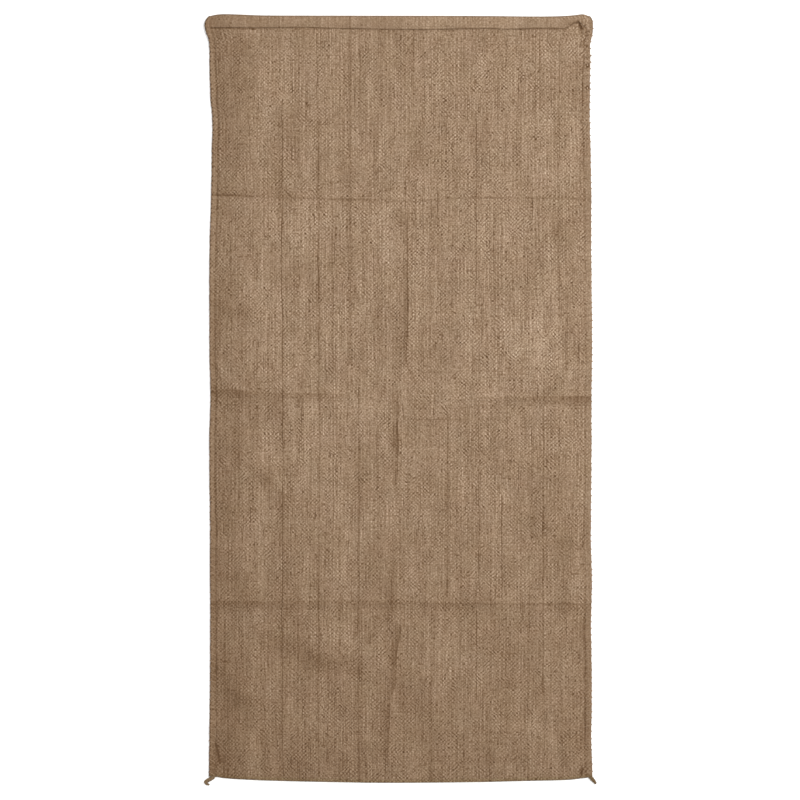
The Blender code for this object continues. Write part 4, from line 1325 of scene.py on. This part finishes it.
class Look:
    """One material's node tree."""

    def __init__(self, name):
        self.material = bpy.data.materials.new(name)
        self.material.use_nodes = True
        self.tree = self.material.node_tree
        self.shader = self.tree.nodes["Principled BSDF"]

    def map(self, name):
        node = self.tree.nodes.new("ShaderNodeUVMap")
        node.uv_map = name
        split = self.tree.nodes.new("ShaderNodeSeparateXYZ")
        self.tree.links.new(node.outputs[0], split.inputs[0])
        return Val(self.tree, split.outputs[0]), Val(self.tree, split.outputs[1])

    def attribute(self, name):
        node = self.tree.nodes.new("ShaderNodeAttribute")
        node.attribute_name = name
        return Val(self.tree, node.outputs["Fac"])

    def vector(self, x, y, z=0.0):
        node = self.tree.nodes.new("ShaderNodeCombineXYZ")
        for i, v in enumerate((x, y, z)):
            if isinstance(v, Val):
                self.tree.links.new(v.socket, node.inputs[i])
            else:
                node.inputs[i].default_value = float(v)
        return node.outputs[0]

    def noise(self, x, y, z=0.0, detail=0.0, rough=0.5):
        """Smooth noise about 0, mostly between -1 and 1."""
        node = self.tree.nodes.new("ShaderNodeTexNoise")
        node.noise_dimensions = "3D"
        node.inputs["Scale"].default_value = 1.0
        node.inputs["Detail"].default_value = detail
        node.inputs["Roughness"].default_value = rough
        self.tree.links.new(self.vector(x, y, z), node.inputs["Vector"])
        return (Val(self.tree, node.outputs["Fac"]) - 0.5) * 3.0

    def chance(self, x, y, z=0.0):
        """A random number from 0 to 1 for each whole place."""
        node = self.tree.nodes.new("ShaderNodeTexWhiteNoise")
        node.noise_dimensions = "3D"
        self.tree.links.new(self.vector(x, y, z), node.inputs["Vector"])
        return Val(self.tree, node.outputs["Value"])

    def colour(self, level, stops):
        """Colour for a brightness level. stops: (level, (r, g, b))."""
        node = self.tree.nodes.new("ShaderNodeValToRGB")
        ramp = node.color_ramp
        ramp.interpolation = "LINEAR"
        while len(ramp.elements) < len(stops):
            ramp.elements.new(0.5)
        for element, (at, rgb) in zip(ramp.elements, stops):
            element.position = at
            element.color = (*rgb, 1.0)
        self.tree.links.new(level.socket, node.inputs["Fac"])
        return node.outputs["Color"]

    def tint(self, colour, red, blue):
        """The colour with its red and blue multiplied."""
        node = self.tree.nodes.new("ShaderNodeVectorMath")
        node.operation = "MULTIPLY"
        self.tree.links.new(colour, node.inputs[0])
        self.tree.links.new(self.vector(red, 1.0, blue), node.inputs[1])
        return node.outputs["Vector"]

    def bump(self, height, strength=1.0):
        """Height in mm."""
        node = self.tree.nodes.new("ShaderNodeBump")
        node.inputs["Strength"].default_value = strength
        node.inputs["Distance"].default_value = MM
        self.tree.links.new(height.socket, node.inputs["Height"])
        self.tree.links.new(node.outputs["Normal"], self.shader.inputs["Normal"])


# Brightness levels to jute colours, darker yarn being a little redder.
JUTE = (
    (0.0, (0.033, 0.011, 0.002)),
    (0.12, (0.064, 0.029, 0.008)),
    (0.25, (0.095, 0.049, 0.020)),
    (0.375, (0.149, 0.090, 0.048)),
    (0.5, (0.201, 0.131, 0.078)),
    (0.625, (0.265, 0.184, 0.119)),
    (0.75, (0.330, 0.237, 0.162)),
    (1.0, (0.536, 0.412, 0.308)),
)

# Lengthwise yarns that show as dark lines: distance from the left edge, and stretch (y, mm).
Streak = namedtuple("Streak", "x top bottom dark")
STREAKS = (
    Streak(-184.3, 470, -590, 0.55),
    Streak(-127.0, 440, -590, 0.5),
    Streak(-105.0, 310, -310, 0.28),
    Streak(119.6, 440, 150, 0.5),
    Streak(122.5, -10, -300, 0.42),
    Streak(119.6, -330, -470, 0.5),
    Streak(74.0, -10, -310, 0.5),
    Streak(158.6, -150, -310, 0.6),
    Streak(211.0, 580, 450, 0.4),
    Streak(218.0, 580, 455, 0.4),
    Streak(250.0, 560, 120, 0.35),
    Streak(224.5, -10, -460, 0.42),
    Streak(20.5, 580, 450, 0.38),
    Streak(-62.5, 580, 440, 0.35),
    Streak(50.0, -330, -600, 0.38),
    Streak(-59.0, -330, -460, 0.4),
)


def woven_cloth():
    g = Look("jute_weave")
    U, V = g.map("cloth")
    hem = g.attribute("hem")
    edge = g.attribute("edge_d")
    front = g.attribute("front")
    near, left = edge.abs(), edge.below(0.0)
    right = 1.0 - left

    # yarns wander a little from straight and crowd together here and there
    wander = g.noise(U * (1 / 170.0), V * (1 / 420.0), 3.1, detail=1.0)
    weft_wander = g.noise(U * (1 / 75.0), V * (1 / 260.0), 8.7, detail=1.0)
    crowd = g.noise(U * (1 / 10.0), V * (1 / 60.0), 23.1, detail=1.0)
    weft_crowd = g.noise(U * (1 / 34.0), V * (1 / 11.0), 28.7, detail=1.0)
    u = U * (1 / WARP_PITCH) + wander * 0.7 + crowd * 0.5
    v = V * (1 / WEFT_PITCH) + weft_wander * 0.75 + weft_crowd * 0.45
    i, j = u.floor(), v.floor()
    shift_u = g.noise(i * 3.17, V * (1 / 11.0), 1.9) * 0.22
    shift_v = g.noise(U * (1 / 9.0), j * 3.31, 5.3) * 0.26
    fu = u - i - 0.5 + shift_u
    fv = v - j - 0.5 + shift_v

    # each yarn's own thickness and tone, slow along it
    warp_n = g.noise(i * 7.31, V * (1 / 210.0), 2.2, detail=3.0, rough=0.65)
    warp_t = g.noise(i * 5.77, V * (1 / 30.0), 12.2, detail=2.0, rough=0.7)
    weft_n = g.noise(U * (1 / 75.0), j * 6.13, 4.4, detail=2.0, rough=0.6)
    weft_t = g.noise(U * (1 / 22.0), j * 4.71, 14.4, detail=2.0, rough=0.7)
    dice = g.chance(i, j, 1.0)

    # gaps between neighbouring lengthwise yarns, some of them open, darkened as painted shade
    gi = (u + shift_u + 0.5).floor()
    gap_d = (u + shift_u - gi) * WARP_PITCH
    gap_n = g.noise(gi * 8.83, V * (1 / 85.0), 36.2, detail=3.0, rough=0.7)
    gap = gap_d.bell(0.46) * gap_n.ramp(-0.1, 1.05, 0.1, 1.3)

    # lengthwise yarns that show as dark lines
    streak = None
    for s in STREAKS:
        mid, half = MOUTH_Y - 0.5 * (s.top + s.bottom), 0.5 * (s.top - s.bottom)
        line = ((u - (s.x + HALF_WIDTH) / WARP_PITCH) * WARP_PITCH).bell(0.8) * V.near(mid, half) * s.dark
        streak = line if streak is None else streak + line
    broken = g.noise(gi * 2.3, V * (1 / 26.0), 21.0, detail=3.0, rough=0.7).ramp(-1.0, 0.7, 0.3, 1.15)
    streak = streak * broken * front

    tw = warp_n * 0.09 + warp_t * 0.08 + 0.9
    tf = weft_n * 0.05 + weft_t * 0.08 + 0.95

    # crossings: the yarn that is on top alternates
    s = ((i + j) * math.pi).cos()
    qw = fu / tw * 2.0
    qf = fv / tf * 2.0
    pw = (1.0 - qw * qw).max(0.0).sqrt()
    pf = (1.0 - qf * qf).max(0.0).sqrt()
    R, A = 0.36, 0.30
    hw = pw * R + s * (fv * math.pi).cos() * A - pw.below(0.02) * 0.8
    hf = pf * R - s * (fu * math.pi).cos() * A - pf.below(0.02) * 0.8
    is_warp = hw.above(hf)
    height = hw.max(hf)
    # painted shade: the low parts of the crossings are darker
    shade = height.ramp(-0.45, 0.5, 0.72, 1.0)

    # how plainly the crossings show: in patches, drawn out lengthwise
    patch = g.noise(U * (1 / 26.0), V * (1 / 70.0), 61.0, detail=3.0, rough=0.6).ramp(-0.9, 0.9, 0.35, 1.7)
    patch = patch * (g.noise(U * (1 / 8.5), V * (1 / 11.0), 62.0, detail=1.0) * 0.95 + 1.0)
    patch2 = g.noise(U * (1 / 21.0), V * (1 / 55.0), 64.0, detail=3.0, rough=0.65).ramp(-0.6, 1.0, 0.1, 1.9)
    patch3 = g.noise(U * (1 / 40.0), V * (1 / 18.0), 66.0, detail=2.0, rough=0.6).ramp(-0.4, 1.0, 0.0, 1.6)
    pu, pv = (u + shift_u) * math.pi, (v + shift_v) * math.pi
    pair = pu.sin() * patch2 * 0.10 + pv.sin() * patch3 * 0.045
    # the yarns' twist makes one diagonal of the crossings show more than the other
    lean = (g.noise(U * (1 / 17.0), V * (1 / 21.0), 68.0, detail=1.0) * 1.2).min(1.0).max(-1.0)
    cross = (pu - pv).cos() * (lean + 1.0) * 0.5 - (pu + pv).cos() * (1.0 - lean) * 0.5

    # fibres along each yarn
    fib_w = g.noise(U * 2.6, V * 0.22, 31.0, detail=2.0, rough=0.7)
    fib_f = g.noise(U * 0.22, V * 2.6, 33.0, detail=2.0, rough=0.7)
    fibre = is_warp.mix(fib_f, fib_w)

    grain = g.noise(U * (1 / 2.2), V * (1 / 2.4), 72.0)
    odd = (dice - 0.5) * 0.26 - dice.below(0.028) * 0.17 + grain * 0.3
    tone_w = warp_n * 0.14 + warp_t * 0.19 - 0.02
    tone_f = weft_n * 0.06 + weft_t * 0.075 + warp_n * 0.10 + warp_t * 0.05 + 0.02
    patch = patch * (1.0 - g.attribute("hem_d").ramp(-34.0, -8.0, 0.0, 0.45))
    cross = cross * patch * 0.237
    tone = is_warp.mix(tone_f, tone_w) + odd + pair + cross + cross.min(0.0) * 0.22 + 1.01
    tone = tone - (tone - 1.14).max(0.0) * 0.32

    # slubs and bark specks: a few small dark spots at uneven places
    cu, cv = U * (1 / 15.0), V * (1 / 15.0)
    ci, cj = cu.floor(), cv.floor()
    pick = g.chance(ci, cj, 71.0)
    du = (cu - ci - 0.25 - g.chance(ci, cj, 73.0) * 0.5) * 15.0
    dv = (cv - cj - 0.25 - g.chance(ci, cj, 74.0) * 0.5) * 15.0
    long_u = g.chance(ci, cj, 75.0).ramp(0.0, 1.0, 0.45, 1.6)
    spot = ((du * long_u) * (du * long_u) + (dv / long_u) * (dv / long_u)).sqrt()
    speck = spot.ramp(0.5, 1.7, 1.0, 0.0) * pick.ramp(0.965, 1.0, 0.0, 0.5)
    slub = g.noise(U * (1 / 30.0), j * 5.9, 83.0).ramp(1.02, 1.4, 0.0, 0.2) * (1.0 - is_warp)

    # slow changes of tone over the cloth, and in down and sides painted light and shade
    cloud = g.noise(U * (1 / 80.0), V * (1 / 95.0), 41.0, detail=2.0, rough=0.55)
    cloud2 = g.noise(U * (1 / 13.0), V * (1 / 140.0), 43.0, detail=3.0, rough=0.6)
    cloud3 = g.noise(U * (1 / 27.0), V * (1 / 30.0), 47.0, detail=3.0, rough=0.6)
    # painted shade and painted light: darker towards the bottom and the lower left, lighter towards the right and
    # along the hem's right part
    down = V.ramp(430.0, 1300.0, 1.0, 0.83) * V.ramp(-100.0, 500.0, 0.975, 1.0)
    down = down * (1.0 - V.ramp(1030.0, 1190.0, 0.0, 0.055) * U.ramp(60.0, 330.0, 1.0, 0.1))
    down = down * (U.ramp(230.0, 540.0, 0.0, 0.03) * V.ramp(900.0, 1150.0, 1.0, 0.0) + 1.008)
    down = down * (hem.mix(1.0, U.ramp(70.0, 430.0, 0.975, 1.045)))
    # painted shade: a darker band inside the left edge, a faint one inside the right
    sides = (1.0 - near.ramp(18.0, 84.0, 0.14, 0.0) * left) * (1.0 - near.ramp(22.0, 62.0, 0.025, 0.0) * right)

    # folds: a dark line where the fold was pressed, partly crease dirt and partly painted shade, and a band of painted
    # shade beside it that starts sharply
    cross_d, cross_line, cross_band = g.attribute("cross_d"), g.attribute("cross_line"), g.attribute("cross_band")
    beside = cross_d * (1.0 - cross_band.below(0.0) * 2.0)
    wob = g.noise(U * (1 / 8.0), V * (1 / 8.0), 51.0, detail=2.0) * 0.9
    gate = g.noise(U * (1 / 17.0), 0.5, 53.0, detail=2.0).ramp(-0.9, 0.7, 0.2, 1.1)
    line = (cross_d + 1.2 + wob * 0.7).bell(1.7) * cross_line * (gate * 0.7 + 0.3)
    band = (beside + wob * 0.5).ramp(-1.2, 1.0, 1.0, 0.0) * (beside + wob * 2.0).ramp(-21.0, -3.0, 0.0, 1.0) * cross_band.abs() * (gate * 0.25 + 0.75)
    # the lengthwise fold: its line, partly crease dirt and partly painted shade, and painted shade on its left side
    spine_d, spine_line, spine_band = g.attribute("spine_d"), g.attribute("spine_line"), g.attribute("spine_band")
    wob2 = g.noise(U * (1 / 9.0), V * (1 / 14.0), 57.0, detail=3.0) * 1.5
    gate2 = g.noise(0.5, V * (1 / 19.0), 59.0, detail=2.0).ramp(-0.9, 0.7, 0.6, 1.1)
    wob2 = wob2 * 0.3
    spine_at = spine_d + wob2
    sline = spine_at.ramp(-0.3, 1.3, 1.0, 0.0) * (spine_at.min(0.0) * (1 / 3.0)).exp() * spine_line * gate2
    spine_shade = spine_at.ramp(0.0, 1.8, 1.0, 0.0) * (spine_d + wob2 * 2.0).ramp(-15.0, -6.0, 0.0, 1.0) * spine_band
    hook = (g.attribute("hook_d") + wob2).bell(1.7)

    # seam line, and painted shade at the strip's edge, under the hem's free edge, at the mouth's fold, along the
    # bottom fold and in the dents
    hem_d = g.attribute("hem_d")
    below_hem = left.mix(hem_d.ramp(-10.0, -1.0, 1.0, 0.0), hem_d.ramp(-30.0, -2.0, 1.0, 0.0))
    dash = ((V - left.mix(0.37 * STITCH_PITCH, 0.0)) * (2 * math.pi / STITCH_PITCH) + wob).cos().ramp(-0.9, 0.7, 0.68, 1.0)
    seam = (g.attribute("seam_d") - 0.2 + wob * 0.6).bell(1.75) * dash * (below_hem * 0.85 + 0.15) * g.attribute("seam_dark")
    # painted shade inside the edges, mostly the left, and painted shadows between the overcast wraps along the left
    # edge
    stitch_tick_shadow = (V * (2 * math.pi / 7.2) + wob * 0.9).cos().ramp(0.05, 0.9, 0.0, 1.0) * V.ramp(200.0, 420.0, 1.0, 0.6)
    edge_shade = near.ramp(0.2, 2.7, 0.22, 0.0) * (left * 0.85 + 0.15) + near.ramp(1.6, 3.2, 0.8, 0.0) * stitch_tick_shadow * U.below(300.0)
    # both ends of the hem: a painted shade outline, mottled cloth at the right one and down its strip
    top = V.abs()
    ear = top.ramp(30.0, 50.0, 1.0, 0.0) * near.ramp(16.0, 26.0, 1.0, 0.0)
    edge_shade = edge_shade + near.ramp(0.4, 3.4, 0.3, 0.0) * top.ramp(18.0, 42.0, 1.0, 0.0)
    mottle = g.noise(U * (1 / 4.2), V * (1 / 4.6), 81.0, detail=2.0, rough=0.6)
    strip = near.ramp(12.0, 17.0, 1.0, 0.0) * top.ramp(95.0, 190.0, 1.0, 0.0) * right
    mottle = mottle.min(0.35) * (ear * (right * 0.5 + 0.06) + strip * 0.28)
    marks_and_loop_shading = None
    for s in SPOTS:
        qx, qy = (U - s.u) * (1 / s.across), (top - s.v) * (1 / s.along)
        here = ((qx * qx + qy * qy) * -1.0).exp() * s.dark
        marks_and_loop_shading = here if marks_and_loop_shading is None else marks_and_loop_shading + here
    # painted shadow ring round each loose loop on the right strip, with a painted highlight inside it
    for l in LOOPS:
        if l.ring:
            qx, qy = (near - 4.2) * (1 / 2.0), (V - (MOUTH_Y - l.y)) * (1 / 3.0)
            far = (qx * qx + qy * qy).sqrt()
            marks_and_loop_shading = marks_and_loop_shading + ((far - 1.0).bell(0.55) * 0.48 - far.bell(0.5) * 0.4) * right * l.ring
    marks_and_loop_shading = (marks_and_loop_shading * front).min(0.7)
    # painted shade for the tuck's open mouth
    tu, tv = U - 576.4, top - 9.8
    along, across = (tu * 7.1 + tv * 14.1) * (1 / 15.79), (tu * 14.1 - tv * 7.1) * (1 / 15.79)
    tuck_mouth_shade = (across + wob * 0.6).bell(1.2) * along.ramp(-1.5, 1.0) * along.ramp(9.0, 18.0, 1.0, 0.0) * front
    hem_start = U.ramp(70.0, 88.0, 1.0, 0.0)
    # painted shadow under the hem's free edge
    hem_edge_shadow = (hem_d + 0.3 + hem_start * 0.9 + wob * 0.25).bell(1.1) * near.ramp(6.5, 10.5)
    pale = near.ramp(6.0, 12.0, 0.07, 0.0) * right * V.ramp(250.0, 320.0) * V.ramp(520.0, 620.0, 1.0, 0.0)
    pale = pale + near.ramp(5.4, 7.6, 0.085, 0.0) * left * V.ramp(650.0, 1000.0, 1.0, 0.3) * front
    hem_shade = hem_d.ramp(-7.0, -1.0, 0.0, 1.0) * hem_d.ramp(0.0, 2.0, 1.0, 0.0) * near.ramp(6.5, 10.5)
    hem_gate = g.noise(U * (1 / 14.0), 0.5, 67.0, detail=2.0).ramp(-0.9, 0.8, 0.45, 1.0)
    hem_edge_shadow = hem_edge_shadow * hem_start.mix(hem_gate, 1.15) * (1.0 - edge.ramp(12.0, 34.0, 0.75, 0.0) * edge.above(0.0))
    # painted shade inside the dents
    tuck = (g.attribute("tuck_d") + wob * 0.35).max(0.0).bell(1.7)
    # painted shade along the bottom fold's edge and at the mouth's fold
    foot = g.attribute("foot_d").ramp(0.5, 9.0, 0.12, 0.0) * front
    lip = g.attribute("mouth_d").ramp(0.2, 2.9, 0.35, 0.0) * front

    dark = (1.0 - line * 0.26) * (1.0 - band * 0.28) * (1.0 - sline * 0.36) * (1.0 - spine_shade * 0.2) * (1.0 - hook * 0.25)
    dark = dark * (1.0 - seam * 0.36) * (1.0 - edge_shade.min(0.8)) * (1.0 + mottle) * (1.0 - marks_and_loop_shading) * (1.0 - tuck_mouth_shade * 0.78) * (1.0 - hem_edge_shadow * 0.34) * (1.0 - hem_shade * 0.08) * (1.0 - tuck * 0.68) * (1.0 - foot) * (1.0 - lip)
    plain = (hem * 0.5 + near.ramp(7.0, 10.0, 0.4, 0.0)).min(0.8)
    weave = plain.mix(shade * tone * (1.0 - gap * 0.72), shade * 0.3 + tone * 0.3 + 0.36)
    level = weave * (fibre * 0.07 + 1.0) * (1.0 - speck) * (1.0 - slub) * (1.0 - streak)
    # the tone attribute carries the broad painted shade and painted light of SHADES
    level = level * (cloud * 0.12 + cloud2 * 0.14 + cloud3 * 0.10 + 1.0) * (g.attribute("tone") + 1.0) * down * sides * (pale + 1.0) * dark
    level = level * 0.541
    olive = g.attribute("foot_d").ramp(1.0, 8.0, 1.0, 0.0) * front + near.ramp(0.5, 4.0, 0.5, 0.0) * top.ramp(20.0, 44.0, 1.0, 0.0)
    warm = g.noise(U * (1 / 38.0), V * (1 / 34.0), 91.0, detail=2.0) * 0.022
    cool = g.noise(U * (1 / 44.0), V * (1 / 40.0), 95.0, detail=2.0) * 0.03
    g.tree.links.new(g.tint(g.colour(level, JUTE), warm + 1.0 - olive * 0.05, cool + 1.0 - olive * 0.12), g.shader.inputs["Base Color"])

    fine = fibre * 0.03 + height * (0.5 - plain * 0.3) - gap * 0.1
    dents = line * 0.2 + sline * 0.2 + seam * 0.3 + streak * 0.15
    g.bump(fine * 1.25 - dents, 1.0)
    g.shader.inputs["Roughness"].default_value = 0.92
    g.shader.inputs["Specular IOR Level"].default_value = 0.25
    g.shader.inputs["Sheen Weight"].default_value = 0.08
    g.shader.inputs["Sheen Roughness"].default_value = 0.6
    return g.material


def spun_twine(name, tone, twist, strands, red=1.0, blue=1.0):
    g = Look(name)
    u, v = g.map("cloth")
    lay = (u * (2 * math.pi * strands) + v * (2 * math.pi / twist)).cos()
    # painted shade in the grooves between the plies
    groove = lay.ramp(-1.0, 0.2, 0.45, 1.0)
    fib = g.noise(u * 9.0, v * 1.1 + u * 3.0, 3.0, detail=2.0, rough=0.7)
    slow = g.noise(0.5, v * (1 / 40.0), 7.0, detail=1.0)
    level = (groove * 0.22 + 0.78) * (fib * 0.10 + 1.0) * (slow * 0.06 + 1.0) * tone
    g.tree.links.new(g.tint(g.colour(level, JUTE), red, blue), g.shader.inputs["Base Color"])
    g.bump(lay * 0.12 + fib * 0.05, 1.0)
    g.shader.inputs["Roughness"].default_value = 0.9
    g.shader.inputs["Specular IOR Level"].default_value = 0.25
    return g.material


weave = woven_cloth()
sack.data.materials.append(weave)
twine = spun_twine("jute_seam_twine", 0.565, 3.4, 2)
end_twine = spun_twine("jute_end_twine", 0.41, 4.4, 2, red=0.93, blue=0.97)
end_twine_right = spun_twine("jute_end_twine_right", 0.35, 4.4, 2, red=0.9, blue=0.93)
for piece in (stitches_left, stitches_right, hem_stitches):
    piece.data.materials.append(twine)
end_left.data.materials.append(end_twine)
end_right.data.materials.append(end_twine_right)

# ---- what stands for what ----
pieces = (sack, stitches_left, stitches_right, hem_stitches, end_left, end_right)
for piece in pieces:
    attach(piece, "root")
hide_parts("sack_cloth")
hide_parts("seam_twine_left")
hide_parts("seam_twine_right")

# ---- stage, light and camera ----
floor_mesh = bpy.data.meshes.new("floor")
reach, sides = 60.0, 48
ring = [(reach * math.cos(2 * math.pi * k / sides), reach * math.sin(2 * math.pi * k / sides), -0.0003) for k in range(sides)]
floor_mesh.from_pydata(ring, [], [list(range(sides))])
floor = bpy.data.objects.new("floor", floor_mesh)
bpy.context.scene.collection.objects.link(floor)
floor_look = bpy.data.materials.new("pale_floor")
floor_look.use_nodes = True
floor_shader = floor_look.node_tree.nodes["Principled BSDF"]
floor_shader.inputs["Base Color"].default_value = (0.97, 0.97, 0.97, 1.0)
floor_shader.inputs["Roughness"].default_value = 1.0
floor_shader.inputs["Specular IOR Level"].default_value = 0.0
floor_mesh.materials.append(floor_look)

world = bpy.data.worlds.new("studio")
bpy.context.scene.world = world
world.use_nodes = True
background = world.node_tree.nodes["Background"]
background.inputs["Color"].default_value = (1.0, 1.0, 1.0, 1.0)
background.inputs["Strength"].default_value = 1.04


def soft_light(name, at, target, size, power, colour=(1.0, 1.0, 1.0)):
    data = bpy.data.lights.new(name, "AREA")
    data.shape = "SQUARE"
    data.size = size
    data.energy = power
    data.color = colour
    ob = bpy.data.objects.new(name, data)
    from mathutils import Vector
    ob.location = at
    ob.rotation_euler = (Vector(target) - Vector(at)).to_track_quat("-Z", "Y").to_euler()
    bpy.context.scene.collection.objects.link(ob)
    return ob


soft_light("key", (2.5, 2.1, 5.5), (0.0, 0.0, 0.0), 2.6, 300.0, (1.0, 0.985, 0.965))

camera_data = bpy.data.cameras.new("camera")
camera_data.lens = 230.0
camera_data.sensor_width = 36.0
camera_data.clip_end = 200.0
camera = bpy.data.objects.new("camera", camera_data)
camera.location = (-0.00016, -0.00047, 8.0092)
camera.rotation_euler = (0.0, 0.0, 0.0)
bpy.context.scene.collection.objects.link(camera)
bpy.context.scene.camera = camera
bpy.context.scene.view_settings.view_transform = "Standard"
bpy.context.scene.view_settings.look = "None"
